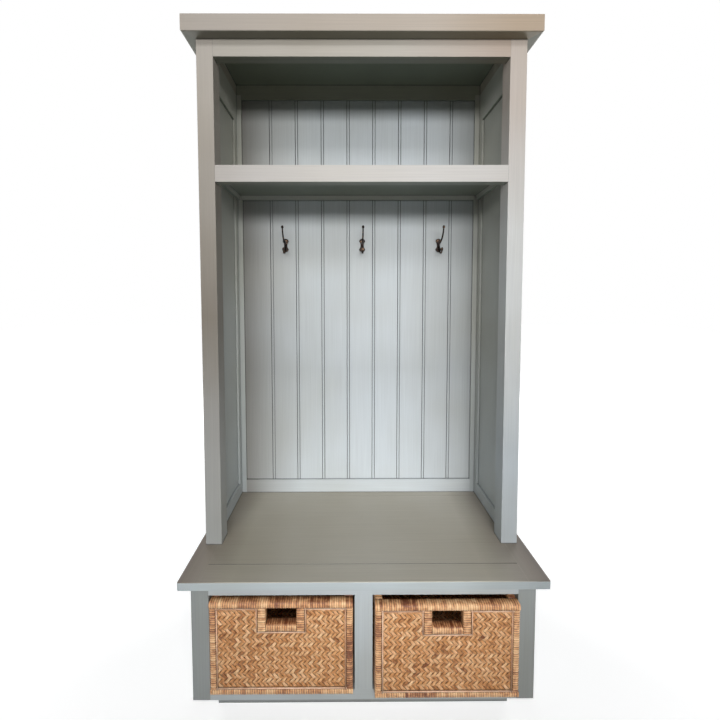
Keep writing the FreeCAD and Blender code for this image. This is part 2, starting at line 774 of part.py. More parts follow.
def make_crown():
    """The crown: three mitred boards, rebated for the roof panel."""
    lip = f"({CROWN_WIDE} - RoofRebate)"
    long = f"(2 * {CROWN_HALF})"
    deep = f"({WALL} - {CROWN_FRONT})"
    front = new_body("crown_front", (f"-{CROWN_HALF}", CROWN_FRONT, CROWN_FOOT))
    plan = [
        ("0", "0"),
        (long, "0"),
        (f"({long} - {CROWN_WIDE})", CROWN_WIDE),
        (CROWN_WIDE, CROWN_WIDE),
    ]
    pad(front, polygon(front, "XY_Plane", plan), "CrownThick")
    cut = rectangle(front, "XY_Plane", (lip, lip), (f"({long} - {lip})", CROWN_WIDE), "CrownThick")
    pocket(front, cut, "RoofThick")
    ease(front, "CrownEase", lambda m, s: abs(s.x) > 0.99 and near(m.y, 0))
    for side, right in each_side():
        low = side_place(HUTCH_INNER, CROWN_HALF, right)
        end = new_body(f"crown_{side}", (low, CROWN_FRONT, CROWN_FOOT))
        plan = [
            (CROWN_WIDE, "0"),
            (CROWN_WIDE, deep),
            ("0", deep),
            ("0", CROWN_WIDE),
        ]
        pad(end, polygon(end, "XY_Plane", handed(plan, CROWN_WIDE, right)), "CrownThick")
        strip = [("0", lip), ("RoofRebate", lip), ("RoofRebate", deep), ("0", deep)]
        cut = polygon(end, "XY_Plane", handed(strip, CROWN_WIDE, right), "CrownThick")
        pocket(end, cut, "RoofThick")
        outer = number(CROWN_WIDE) if right else 0.0
        ease(end, "CrownEase", lambda m, s: abs(s.y) > 0.99 and near(m.x, outer))
    half = f"({HUTCH_INNER} + RoofRebate)"
    start = f"({CROWN_FRONT} + {lip})"
    board(
        "roof_panel",
        (f"(2 * {half})", f"({WALL} - {start})", "RoofThick"),
        (f"-{half}", start, ROOF_FOOT),
    )


def arm_section(body, thick, route):
    """An octagon across the arm, at the end of its straight root.

    The line through the hub of the arm's bend is drawn beside it.
    """
    level, root, sweep, fall, finish = route
    half = f"({thick} / 2)"
    flat = f"({half} * tan(22.5 deg))"
    corners = [
        (half, flat),
        (flat, half),
        (f"(-{flat})", half),
        (f"(-{half})", flat),
        (f"(-{half})", f"(-{flat})"),
        (f"(-{flat})", f"(-{half})"),
        (flat, f"(-{half})"),
        (half, f"(-{flat})"),
    ]
    sketch = polygon(body, "XZ_Plane", corners)
    hub = [FreeCAD.Vector(side * number(half), number(sweep), 0) for side in (-1, 1)]
    line = sketch.addGeometry(Part.LineSegment(*hub), True)
    pin_point(sketch, line, 1, f"(-{half})", sweep)
    pin_point(sketch, line, 2, half, sweep)
    sketch.AttachmentOffset.Rotation = FreeCAD.Rotation(FreeCAD.Vector(1, 0, 0), 1)
    offset = {
        "Rotation.Angle": f"{fall} * 1 deg",
        "Base.y": f"{level} - {root} * sin({fall} * 1 deg)",
        "Base.z": f"{root} * cos({fall} * 1 deg)",
    }
    for key, text in offset.items():
        sketch.setExpression(f"AttachmentOffset.{key}", on_sheet(text))
    DOC.recompute()
    return sketch


def add_arm(body, thick, route):
    """One arm of a coat hook: a straight root, a bend, and a bud on its end."""
    level, root, sweep, fall, finish = route
    section = arm_section(body, thick, route)
    pad(body, section, f"{root} - HookPlateThick / 2 / cos({fall} * 1 deg)", backwards=True)
    bend = body.newObject("PartDesign::Revolution", body.Name + "_bend")
    bend.Profile = section
    bend.ReferenceAxis = (section, ["Axis0"])
    bend.Reversed = True
    bend.setExpression("Angle", on_sheet(f"({fall} + {finish}) * 1 deg"))
    DOC.recompute()

    falls, rises = f"{fall} * 1 deg", f"{finish} * 1 deg"
    end_y = f"(-{root} * cos({falls}) - {sweep} * (sin({falls}) + sin({rises})))"
    end_z = f"({level} - {root} * sin({falls}) + {sweep} * (cos({falls}) - cos({rises})))"
    bud = body.newObject("PartDesign::AdditivePrism", body.Name + "_bud")
    bud.Polygon = 8
    bud.setExpression("Circumradius", on_sheet("BudWide / 2 / cos(22.5 deg)"))
    bud.setExpression("Height", on_sheet("BudLong"))
    bud.Placement.Rotation = FreeCAD.Rotation(FreeCAD.Vector(1, 0, 0), 1)
    bud.setExpression("Placement.Rotation.Angle", on_sheet(f"(90 - {finish}) * 1 deg"))
    bud.setExpression("Placement.Base.y", on_sheet(end_y))
    bud.setExpression("Placement.Base.z", on_sheet(end_z))
    DOC.recompute()
    tip = FreeCAD.Vector(0, number(end_y), number(end_z))
    lean = math.radians(90 - number(finish))
    axis = FreeCAD.Vector(0, -math.sin(lean), math.cos(lean))
    rim = (number("BudWide") + number(thick)) / 4

    def ring(level):
        def picks(m, s):
            along = (m - tip).dot(axis)
            return near(along, level) and (m - tip - axis * along).Length > rim

        return picks

    ease(body, "BudShoulder", ring(0), "Chamfer")
    ease(body, "BudTip", ring(number("BudLong")), "Chamfer")


def make_hook(name, across):
    """A cast coat hook: lobed plate, long upper arm, short lower arm."""
    low = "(-HookScrewReach)"
    hook = new_body(name, (across, PLANK_FACE, HOOK_LEVEL))
    half = "(HookWaist / 2)"
    waist = rectangle(hook, "XZ_Plane", (f"(-{half})", low), (half, "HookScrewReach"))
    pad(hook, waist, "HookPlateThick")
    lobes = [("0", "HookScrewReach", "HookLobe"), ("0", low, "HookLobe")]
    pad(hook, circles(hook, "XZ_Plane", lobes), "HookPlateThick")
    bore = "(ScrewRadius + ScrewClearance)"
    holes = [("0", "HookScrewReach", bore), ("0", low, bore)]
    pocket(hook, circles(hook, "XZ_Plane", holes), "HookPlateThick", backwards=True)
    add_arm(hook, "ArmThick", ("ArmRise", "ArmRoot", "ArmSweep", "ArmFall", "ArmFinish"))
    add_arm(hook, "SpurThick", ("SpurRise", "SpurRoot", "SpurSweep", "SpurFall", "SpurFinish"))


def make_screw(across, level):
    """A pan-headed screw: its head on the hook plate, its shank behind."""
    seat = f"({PLANK_FACE} - HookPlateThick)"
    shank = DOC.addObject("Part::Cylinder", "screw_shank")
    shank.setExpression("Radius", on_sheet("ScrewRadius"))
    shank.setExpression("Height", on_sheet("HookPlateThick + ScrewBite + ScrewHeadHigh / 2"))
    head = DOC.addObject("Part::Cylinder", "screw_head")
    head.setExpression("Radius", on_sheet("ScrewHead"))
    head.setExpression("Height", on_sheet("ScrewHeadHigh"))
    shank.Placement.Rotation = FreeCAD.Rotation(FreeCAD.Vector(1, 0, 0), -90)
    head.Placement.Rotation = FreeCAD.Rotation(FreeCAD.Vector(1, 0, 0), 90)
    for solid, depth in ((shank, f"{seat} - ScrewHeadHigh / 2"), (head, seat)):
        for axis, text in zip("xyz", (across, depth, level)):
            solid.setExpression(f"Placement.Base.{axis}", on_sheet(text))
    screw = DOC.addObject("Part::Fuse", "screw")
    screw.Base = head
    screw.Tool = shank
    return screw


def make_hooks():
    """Three coat hooks and the screws that hold them."""
    screws = []
    for word, n in zip(("left", "middle", "right"), HOOK_PLANKS):
        across = f"({PLANK_START} + ({n} + 0.5) * {PLANK_PITCH})"
        make_hook(f"coat_hook_{word}", across)
        for sign in ("-", "+"):
            level = f"({HOOK_LEVEL} {sign} HookScrewReach)"
            screws.append(make_screw(across, level))
    group = DOC.addObject("Part::Compound", "hook_screws")
    group.Label = "hook_screws"
    group.Links = screws
    PIECES.append(group)


def make_basket(side, across, front):
    """A basket: woven shell, wrapped edging, and a rim with a hand hole."""
    foot = f"({CUBBY_FLOOR} + BasketLift)"
    place = (f"({across} - {BASKET_WIDE} / 2)", front, foot)
    deck = f"({BASKET_HIGH} - RimHeight)"
    make_shell(f"basket_shell_{side}", place, deck)
    make_edging(f"basket_edging_{side}", place, deck)
    make_rim(f"basket_rim_{side}", place, deck)


def make_shell(name, place, deck):
    """Woven walls and floor, cut away in front for the hand hole."""
    edge, far_x = "EdgeThick", f"({BASKET_WIDE} - EdgeThick)"
    far_y = f"({BASKET_DEEP} - EdgeThick)"
    shell = new_body(name, place)
    pad(shell, rectangle(shell, "XY_Plane", (edge, edge), (far_x, far_y)), deck)
    ease(shell, "(BasketRound - EdgeThick)", upright)
    near_in = "(EdgeThick + WallThick)"
    inside = rectangle(
        shell,
        "XY_Plane",
        (near_in, near_in),
        (f"({far_x} - WallThick)", f"({far_y} - WallThick)"),
        deck,
    )
    pocket(shell, inside, f"({deck} - BasketFloor)")
    half = "(GripWidth / 2 + GripBorder)"
    sill = f"({deck} - GripHeight - GripSill)"
    window = rectangle(
        shell,
        "XZ_Plane",
        (f"({BASKET_WIDE} / 2 - {half})", sill),
        (f"({BASKET_WIDE} / 2 + {half})", deck),
    )
    pocket(shell, window, f"({near_in} + WallThick)")


def make_edging(name, place, deck):
    """Wrapped edging over the corners and the foot of the woven walls."""
    edging = new_body(name, place)
    whole = (BASKET_WIDE, BASKET_DEEP)
    pad(edging, rectangle(edging, "XY_Plane", ("0", "0"), whole), deck)
    ease(edging, "BasketRound", upright)
    inner = ("EdgeThick", "EdgeThick")
    outer = (f"({BASKET_WIDE} - EdgeThick)", f"({BASKET_DEEP} - EdgeThick)")
    pocket(edging, rectangle(edging, "XY_Plane", inner, outer), deck, backwards=True)
    ease(
        edging,
        "(BasketRound - EdgeThick)",
        lambda m, s: upright(m, s) and near_inner_corner(m),
    )
    for plane, run, backwards in (
        ("XZ_Plane", BASKET_WIDE, False),
        ("YZ_Plane", BASKET_DEEP, True),
    ):
        window = rectangle(
            edging, plane, ("EdgeWidth", "EdgeHeight"), (f"({run} - EdgeWidth)", deck)
        )
        through = BASKET_DEEP if plane == "XZ_Plane" else BASKET_WIDE
        pocket(edging, window, through, backwards=backwards)


def near_inner_corner(middle):
    """Picks a point on the inside of the edging."""
    edge = number("EdgeThick")
    wide, deep = number(BASKET_WIDE), number(BASKET_DEEP)
    on_x = near(middle.x, edge) or near(middle.x, wide - edge)
    return on_x and (near(middle.y, edge) or near(middle.y, deep - edge))


def make_rim(name, place, deck):
    """The wrapped top rim, and the U-shaped border of the hand hole."""
    rim = new_body(name, place)
    outline = rectangle(rim, "XY_Plane", ("0", "0"), (BASKET_WIDE, BASKET_DEEP), deck)
    pad(rim, outline, "RimHeight")
    ease(rim, "BasketRound", upright)
    top = number(BASKET_HIGH)
    ease_ring(rim, "RimRound", top)
    inside = rectangle(
        rim,
        "XY_Plane",
        ("RimThick", "RimThick"),
        (f"({BASKET_WIDE} - RimThick)", f"({BASKET_DEEP} - RimThick)"),
        BASKET_HIGH,
    )
    pocket(rim, inside, "RimHeight")
    half = "(GripWidth / 2)"
    wide = f"({half} + GripBorder)"
    left, right = f"({BASKET_WIDE} / 2 - {wide})", f"({BASKET_WIDE} / 2 + {wide})"
    hole_left, hole_right = f"({BASKET_WIDE} / 2 - {half})", f"({BASKET_WIDE} / 2 + {half})"
    sill = f"({deck} - GripHeight)"
    foot = f"({sill} - GripSill)"
    border = polygon(
        rim,
        "XZ_Plane",
        [
            (left, foot),
            (right, foot),
            (right, deck),
            (hole_right, deck),
            (hole_right, sill),
            (hole_left, sill),
            (hole_left, deck),
            (left, deck),
        ],
    )
    pad(rim, border, "RimThick", backwards=True)


def ease_ring(body, radius, level):
    """Round every edge that lies at one level."""
    base = body.Tip
    names = []
    for n, edge in enumerate(base.Shape.Edges, start=1):
        box = edge.BoundBox
        if near(box.ZMin, level) and near(box.ZMax, level):
            names.append(f"Edge{n}")
    feature = body.newObject("PartDesign::Fillet", body.Name + "_ease")
    feature.Base = (base, names)
    feature.setExpression("Radius", on_sheet(radius))
    DOC.recompute()


def make_baskets():
    """Two baskets, each in the middle of its cubby."""
    middle = f"(({BOX_WIDE} / 2 - FaceStile + FaceMullion / 2) / 2)"
    make_basket("left", f"(-{middle})", f"({BOX_FRONT} - LeftBasketProud)")
    make_basket("right", middle, f"({BOX_FRONT} - RightBasketProud)")


BUILDERS = (
    make_plinth,
    make_box,
    make_box_front,
    make_seat,
    make_front_posts,
    make_rear_posts,
    make_side_frames,
    make_front_rails,
    make_shelf,
    make_back_rails,
    make_planks,
    make_crown,
    make_hooks,
    make_baskets,
)


def export_all():
    """Check every object, then write each sub-part to its own file."""
    DOC.recompute()
    for thing in DOC.Objects:
        for word in ("Invalid", "Error"):
            if word in thing.State:
                raise RuntimeError(f"{thing.Label} is {word}")
    os.makedirs("parts", exist_ok=True)
    for piece in PIECES:
        shape = piece.Shape
        if shape.isNull() or not shape.isValid():
            raise RuntimeError(f"{piece.Label} has no valid shape")
        shape.exportStep(f"parts/{piece.Label}.step")
    print(len(PIECES), "pieces")


for build in BUILDERS:
    build()
export_all()
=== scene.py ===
import logging
import math
import random
from dataclasses import dataclass, field, replace
from enum import Enum
from functools import cache
from typing import Any, Iterable, Sequence

import bmesh
import bpy
from bmesh.types import BMEdge, BMesh, BMFace, BMVert
from bpy.types import Material, Mesh, Node, NodeSocket, NodeTree, Object
from mathutils import Matrix, Vector


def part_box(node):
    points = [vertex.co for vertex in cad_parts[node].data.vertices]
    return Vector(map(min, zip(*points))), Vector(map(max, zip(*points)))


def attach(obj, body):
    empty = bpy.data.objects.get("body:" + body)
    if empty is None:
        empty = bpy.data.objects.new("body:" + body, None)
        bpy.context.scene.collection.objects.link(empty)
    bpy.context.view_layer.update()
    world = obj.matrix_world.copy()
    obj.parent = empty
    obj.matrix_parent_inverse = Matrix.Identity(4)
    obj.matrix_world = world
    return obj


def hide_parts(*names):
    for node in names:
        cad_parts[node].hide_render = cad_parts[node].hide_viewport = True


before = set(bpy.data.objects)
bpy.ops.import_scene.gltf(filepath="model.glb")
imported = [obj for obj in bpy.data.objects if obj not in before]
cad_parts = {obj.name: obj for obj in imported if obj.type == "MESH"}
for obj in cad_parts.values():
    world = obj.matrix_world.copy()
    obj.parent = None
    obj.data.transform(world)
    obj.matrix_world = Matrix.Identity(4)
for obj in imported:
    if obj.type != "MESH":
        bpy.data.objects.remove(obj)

# A painted hall tree: a bench box with two woven baskets, and on it an open hutch with a
# bead-board back, a shelf, coat hooks and a deep crown. Everything is in metres.

log = logging.getLogger("hall_tree")
MM = 0.001
TONE = "strand_tone"
Point = tuple[float, float]
Spot = tuple[float, float, float]


class Grain(Enum):
    """Which way the wood of a board runs; the value turns its length to the x axis."""

    ACROSS = (0.0, 0.0, 0.0)
    UPRIGHT = (0.0, math.pi / 2, 0.0)
    DEEP = (0.0, 0.0, math.pi / 2)


class Side(Enum):
    """The two baskets, by the side of the bench that they stand in."""

    LEFT = "left"
    RIGHT = "right"


class Face(Enum):
    """The faces of a basket: the turn about z that brings its front wall there."""

    FRONT = 0.0
    RIGHT = math.pi / 2
    BACK = math.pi
    LEFT = -math.pi / 2


def linear(shade: str) -> tuple[float, float, float, float]:
    """Turn an sRGB hex colour into the linear colour that a shader takes.

    Args:
        shade: The colour as "#RRGGBB".

    Returns:
        Red, green, blue and an alpha of one.
    """
    parts = [int(shade[n : n + 2], 16) / 255 for n in (1, 3, 5)]
    r, g, b = (c / 12.92 if c <= 0.04045 else ((c + 0.055) / 1.055) ** 2.4 for c in parts)
    return r, g, b, 1.0


def put(
    tree: NodeTree,
    kind: str,
    values: dict[Any, Any] | None = None,
    links: dict[Any, NodeSocket] | None = None,
    **settings: Any,
) -> Node:
    """Add a node with its settings, constants and links.

    Args:
        tree: The node tree it goes into.
        kind: The node's type, without the leading "ShaderNode".
        values: Constants, by the name or number of the input.
        links: Output sockets, by the name or number of the input they feed.
        **settings: Properties of the node itself.

    Returns:
        The new node.
    """
    node = tree.nodes.new("ShaderNode" + kind)
    for key, value in settings.items():
        setattr(node, key, value)
    for key, value in (values or {}).items():
        node.inputs[key].default_value = value
    for key, socket in (links or {}).items():
        tree.links.new(socket, node.inputs[key])
    return node


def new_surface(name: str) -> tuple[Material, NodeTree, NodeSocket]:
    """An empty material of that name, its node tree, and the place on the object."""
    surface = bpy.data.materials.new(name)
    surface.use_nodes = True
    surface.node_tree.nodes.clear()
    return surface, surface.node_tree, put(surface.node_tree, "TexCoord").outputs["Object"]


def blend(
    tree: NodeTree, share: NodeSocket, first: Any, second: Any, kind: str = "MIX"
) -> NodeSocket:
    """Mix two colours by a share; each is a hex colour or an output socket."""
    values: dict[Any, Any] = {}
    links: dict[Any, NodeSocket] = {0: share}
    for slot, colour in ((6, first), (7, second)):
        if isinstance(colour, str):
            values[slot] = linear(colour)
        else:
            links[slot] = colour
    return put(tree, "Mix", values, links, data_type="RGBA", blend_type=kind).outputs[2]


def reckon(
    tree: NodeTree, operation: str, first: NodeSocket, second: Any, kind: str = "Math"
) -> NodeSocket:
    """Reckon with two terms; the second is a number or an output socket."""
    if isinstance(second, float):
        return put(tree, kind, {1: second}, {0: first}, operation=operation).outputs[0]
    return put(tree, kind, {}, {0: first, 1: second}, operation=operation).outputs[0]


def dim(tree: NodeTree, colour: NodeSocket, share: NodeSocket) -> NodeSocket:
    """Multiply a colour by a share, or by another colour."""
    return reckon(tree, "MULTIPLY", colour, share, "VectorMath")


def spread(
    tree: NodeTree, value: NodeSocket, taken: Point = (0.0, 1.0), given: Point = (0.0, 1.0)
) -> NodeSocket:
    """Turn one range of a value evenly into another.

    Args:
        tree: The node tree it goes into.
        value: The value; beyond the range it counts as the range's end.
        taken: The value at the start and at the end of the range.
        given: What comes out for these two.

    Returns:
        What comes out.
    """
    ends = {"From Min": taken[0], "From Max": taken[1], "To Min": given[0], "To Max": given[1]}
    return put(tree, "MapRange", ends, {"Value": value}).outputs[0]


def noise(tree: NodeTree, spot: NodeSocket, waves: float | Spot, detail: float) -> NodeSocket:
    """Add noise from zero to one.

    Args:
        tree: The node tree it goes into.
        spot: The place on the object.
        waves: How many waves go to the metre, in all directions or along each axis.
        detail: How many layers of finer waves lie over them.

    Returns:
        The noise's level.
    """
    if isinstance(waves, tuple):
        spot = put(tree, "Mapping", {"Scale": waves}, {"Vector": spot}).outputs[0]
        waves = 1.0
    values = {"Scale": waves, "Detail": detail}
    return put(tree, "TexNoise", values, {"Vector": spot}).outputs["Fac"]


def emboss(
    tree: NodeTree, height: NodeSocket, strength: float, deep: float, **under: NodeSocket
) -> NodeSocket:
    """Raise a surface by a height, over the relief that is given as Normal."""
    values = {"Strength": strength, "Distance": deep}
    return put(tree, "Bump", values, {"Height": height, **under}).outputs[0]


def openness(tree: NodeTree, reach: float, samples: int) -> NodeSocket:
    """How open the air is over the surface, within a reach: zero in a gap, one outside."""
    return put(tree, "AmbientOcclusion", {"Distance": reach}, samples=samples).outputs["AO"]


def give_out(
    tree: NodeTree,
    values: dict[str, float],
    colour: NodeSocket,
    sheen: NodeSocket,
    relief: NodeSocket,
) -> None:
    """End a material in one shader.

    Args:
        tree: The material's node tree.
        values: The shader's constants.
        colour: Its colour.
        sheen: Its roughness.
        relief: Its raised surface.
    """
    links = {"Base Color": colour, "Roughness": sheen, "Normal": relief}
    shader = put(tree, "BsdfPrincipled", values, links)
    put(tree, "OutputMaterial", {}, {"Surface": shader.outputs[0]})


@dataclass(frozen=True)
class PaintedLightRamp:
    """Painted light and shade: colours that a paint takes one after the other along an axis.

    Attributes:
        axis: The axis, "X", "Y" or "Z".
        stops: Places along it in metres, in rising order, each with its shade.
        veil: Painted light along another axis, which darkens these.
    """

    axis: str
    stops: tuple[tuple[float, str], ...]
    veil: "PaintedLightRamp | None" = None

    def colour(self, tree: NodeTree, spot: NodeSocket) -> NodeSocket:
        """Add the nodes that give the shade at a spot.

        Args:
            tree: The node tree they go into.
            spot: The place on the object.

        Returns:
            The shade.
        """
        first, last = self.stops[0][0], self.stops[-1][0]
        along = put(tree, "SeparateXYZ", {}, {0: spot}).outputs[self.axis]
        ramp = put(tree, "ValToRGB", {}, {"Fac": spread(tree, along, (first, last))})
        marks = ramp.color_ramp.elements
        marks[0].color, marks[-1].color = linear(self.stops[0][1]), linear(self.stops[-1][1])
        for place, shade in self.stops[1:-1]:
            marks.new((place - first) / (last - first)).color = linear(shade)
        if not self.veil:
            return ramp.outputs[0]
        return dim(tree, ramp.outputs[0], self.veil.colour(tree, spot))


@dataclass(frozen=True)
class Cracks:
    """Hairlines where paint has cracked over joints.

    Attributes:
        axis: The axis that the joints cross, "X" or "Y".
        first: Where the first joint crosses it.
        pitch: How far apart the joints are; longer than the piece where there is only one.
    """

    axis: str
    first: float
    pitch: float = 2.0

    def darken(self, tree: NodeTree, spot: NodeSocket, share: NodeSocket) -> NodeSocket:
        """Add the nodes that darken the cracks.

        Args:
            tree: The node tree they go into.
            spot: The place on the object.
            share: What is left of the light without the cracks.

        Returns:
            What is left of the light with them.
        """
        along = put(tree, "SeparateXYZ", {}, {0: spot}).outputs[self.axis]
        away = reckon(tree, "PINGPONG", reckon(tree, "SUBTRACT", along, self.first), self.pitch / 2)
        # A crack is 0.6 mm wide; drawn at 2 mm so that it shows in the render.
        line = spread(tree, away, (0.7 * MM, 1.5 * MM), (0.35, 1.0))
        return reckon(tree, "MULTIPLY", share, line)


@dataclass(frozen=True)
class BrushedPaint:
    """Satin cabinet enamel, brushed by hand on planed pine.

    It gives the eye an even, soft sheen with faint brush lines along each board, a little
    drift of tone, arrises where the paint is thin and that are lighter as a painted highlight,
    and painted shade in grooves and on undersides.

    Attributes:
        name: The paint's name.
        shade: Its colour, or its colours along an axis, which carry painted light and shade.
        arris: The colour on the arrises: worn thin paint, and a painted highlight where it is
            lighter.
        roughness: The roughness between the brush lines.
        groove_shade: How much of the colour painted shade leaves in grooves.
        top: The colours of the faces that look up, if they are others; darker, as painted shade.
        cracks: Where it has cracked.
        drift: What the shade turns to in clouds, by multiplying.
        underside_shade: What the colour turns to on undersides, by multiplying, as painted shade.
    """

    name: str
    shade: str | PaintedLightRamp
    arris: str
    roughness: float = 0.42
    groove_shade: float = 0.35
    top: PaintedLightRamp | None = None
    cracks: Cracks | None = None
    drift: str = "#F0EDE7"
    underside_shade: str = "#BBC4BE"

    @cache
    def surface(self, grain: Grain) -> Material:
        """Build the paint for boards that run one way.

        Args:
            grain: Which way the boards run.

        Returns:
            The material.
        """
        surface, tree, spot = new_surface(f"{self.name}_{grain.name.lower()}")
        turned = put(tree, "Mapping", {"Rotation": grain.value}, {"Vector": spot}).outputs[0]
        # Brush lines are about 0.4 mm apart; drawn at 3 mm so that they show in the render.
        bristles = noise(tree, turned, (4, 330, 330), 3.0)
        # Growth rings of the pine under the paint, 12 mm apart.
        wood = noise(tree, turned, (1.6, 80, 80), 2.0)
        # Clouds about 400 mm across.
        cloud = spread(tree, noise(tree, spot, 2.4, 2.0), (0.35, 0.65), (0.0, 0.8))
        face = put(tree, "NewGeometry").outputs["Normal"]
        facing = put(tree, "SeparateXYZ", {}, {0: face}).outputs["Z"]
        base = self.shade
        if isinstance(base, PaintedLightRamp):
            base = base.colour(tree, spot)
        # Painted shade: faces that look up take the darker top colours.
        if self.top:
            shaded_top = spread(tree, facing, (0.2, 0.6))
            base = blend(tree, shaded_top, base, self.top.colour(tree, spot))
        toned = blend(tree, cloud, base, self.drift, "MULTIPLY")
        streaked = dim(tree, toned, spread(tree, bristles, (0.3, 0.7), (0.95, 1.04)))
        # The outermost 1.2 mm of each arris, in patches about 20 mm long, takes the arris colour:
        # worn thin paint, and a painted highlight where it is lighter.
        rounded = put(tree, "Bevel", {"Radius": 1.2 * MM}, samples=4).outputs[0]
        match = put(tree, "VectorMath", {}, {0: rounded, 1: face}, operation="DOT_PRODUCT")
        edge = spread(tree, match.outputs["Value"], (0.995, 0.9), (0.0, 0.6))
        rubbed = reckon(tree, "MULTIPLY", edge, noise(tree, spot, 50.0, 2.0))
        worn_and_highlit = blend(tree, rubbed, streaked, self.arris)
        # Painted shade in the last 5 mm of grooves, seams and inner corners, darker where they are
        # more closed in.
        share = spread(tree, openness(tree, 5 * MM, 8), (0.4, 0.92), (self.groove_shade, 1.0))
        if self.cracks:
            share = self.cracks.darken(tree, spot, share)
        # Painted shade: faces that look down are darkened.
        shaded_under = blend(tree, spread(tree, facing, (-0.4, -0.9)), worn_and_highlit, self.underside_shade, "MULTIPLY")
        sheen = spread(tree, bristles, given=(self.roughness - 0.06, self.roughness + 0.08))
        grained = emboss(tree, wood, 0.35, 0.25 * MM)
        brushed = emboss(tree, bristles, 0.3, 0.12 * MM, Normal=grained)
        give_out(tree, {"IOR": 1.48}, dim(tree, shaded_under, share), sheen, brushed)
        return surface


@dataclass(frozen=True)
class CastBronze:
    """Cast brass with an oil-rubbed antique bronze finish.

    It gives the eye a near-black brown that is slightly grainy from the casting, with
    patches rubbed back to a pinkish gold.
    """

    name: str = "antique_bronze"
    dark: str = "#2A2320"
    rubbed: str = "#9C7C63"

    @cache
    def surface(self) -> Material:
        """Build the metal."""
        surface, tree, spot = new_surface(self.name)
        # Casting grain of 0.8 mm, and rubbed patches of 8 mm.
        grit = noise(tree, spot, 1200.0, 3.0)
        patch = spread(tree, noise(tree, spot, 130.0, 3.0), (0.57, 0.76))
        colour = blend(tree, patch, self.dark, self.rubbed)
        sheen = spread(tree, grit, given=(0.28, 0.5))
        give_out(tree, {"Metallic": 0.9}, colour, sheen, emboss(tree, grit, 0.4, 0.15 * MM))
        return surface


@dataclass(frozen=True)
class Rattan:
    """Rattan, oiled and left in its natural colour.

    It gives the eye strands that each have a tone of their own, from straw to brown, with
    painted shade where they dip under a neighbour, and a low gloss on the crown of each strand.
    """

    name: str
    pale: str
    honey: str
    brown: str
    roughness: float = 0.48

    @cache
    def surface(self) -> Material:
        """Build the strands' material; each face carries its strand's tone."""
        surface, tree, spot = new_surface(self.name)
        tone = put(tree, "Attribute", attribute_name=TONE, attribute_type="GEOMETRY")
        # Skin marks about 12 mm long, and fibres drawn at 1 mm, coarser than they are.
        marks = noise(tree, spot, 85.0, 3.0)
        fibre = noise(tree, spot, 900.0, 2.0)
        marked = spread(tree, marks, (0.3, 0.7), (-0.24, 0.24))
        ramp = put(tree, "ValToRGB", {}, {"Fac": reckon(tree, "ADD", tone.outputs["Fac"], marked)})
        stops = ramp.color_ramp.elements
        stops[0].position, stops[0].color = 0.05, linear(self.brown)
        stops[1].position, stops[1].color = 0.95, linear(self.pale)
        stops.new(0.5).color = linear(self.honey)
        # Painted shade in the last 4 mm of the gaps between strands.
        shade = spread(tree, openness(tree, 4 * MM, 4), (0.35, 0.85), (0.35, 1.0))
        colour = dim(tree, ramp.outputs[0], shade)
        sheen = spread(tree, marks, given=(self.roughness - 0.1, self.roughness + 0.12))
        give_out(tree, {"IOR": 1.5}, colour, sheen, emboss(tree, fibre, 0.35, 0.2 * MM))
        return surface


# Painted light: darker to the left, warmer to the right.
TOP_RAIL_PAINT = BrushedPaint(
    "top_rail_paint",
    PaintedLightRamp("X", ((-0.42, "#B7B1A7"), (0.1, "#CAC5BC"), (0.42, "#CABAAD"))),
    "#DEDCD8",
)
# Painted light: darker towards the left end.
SHELF_RAIL_PAINT = BrushedPaint(
    "shelf_rail_paint",
    PaintedLightRamp("X", ((-0.42, "#C2BDB8"), (-0.1, "#DCD9D5"), (0.3, "#E0DDD9"))),
    "#E4E2DE",
)
# Painted shade: darkest about 1.18 m up, lighter above and below.
LEFT_POST_SHADED_PAINT = BrushedPaint(
    "left_post_shaded_paint",
    PaintedLightRamp("Z", ((0.45, "#A6A9A9"), (1.18, "#7E776D"), (1.85, "#B8B1A8"))),
    "#CCC9C3",
)
# Painted light: lightest about 1.45 m up, darker low down and warmer at the top.
RIGHT_POST_LIT_PAINT = BrushedPaint(
    "right_post_lit_paint",
    PaintedLightRamp("Z", ((0.75, "#ADB4B8"), (1.45, "#E2E4E4"), (1.85, "#D6CBC2"))),
    "#DEDCD8",
)
# Painted shade: a darker copy of the paint for the inside of the hutch, lighter and warmer towards
# the top as painted light.
SHADED_PANEL_PAINT = BrushedPaint(
    "shaded_panel_paint", PaintedLightRamp("Z", ((0.45, "#ABB1B2"), (1.85, "#C2C3BB"))), "#D3D5D3"
)
# Painted shade: a darker copy of the paint for the ceiling and the back top rail.
SHADED_ROOF_PAINT = BrushedPaint("shaded_roof_paint", "#A6A89B", "#C2C3BA")
# Painted light: greyer and darker to the left, warmer to the right.
CROWN_PAINT = BrushedPaint(
    "crown_paint",
    PaintedLightRamp("X", ((-0.46, "#B2A99F"), (0.2, "#C9BDB0"), (0.46, "#C7B49F"))),
    "#CFC8BF",
)
CROWN_END_PAINT = BrushedPaint("crown_end_paint", "#AFAA9F", "#CFC8BF")
# Painted shade: a darker copy of the box paint, for the stiles and the plinth.
SHADED_STILE_PAINT = BrushedPaint("shaded_stile_paint", "#969B9A", "#C9CCCC")
BOX_PAINT = BrushedPaint("box_paint", "#BCC4C7", "#D6D9D9")
# Painted shade: the edges darker towards the right end, and the top darker than the edges and
# darker still at both ends.
SEAT_END_PAINT = BrushedPaint(
    "seat_end_paint",
    PaintedLightRamp("X", ((0.25, "#BAC4C7"), (0.54, "#9CA4A7"))),
    "#B4AFA5",
    roughness=0.36,
    top=PaintedLightRamp(
        "X", ((-0.54, "#74695F"), (-0.38, "#AEA99C"), (0.36, "#BAB5A9"), (0.54, "#675C53"))
    ),
)
SEAT_PAINT = replace(SEAT_END_PAINT, name="seat_paint", cracks=Cracks("Y", -164.5 * MM))
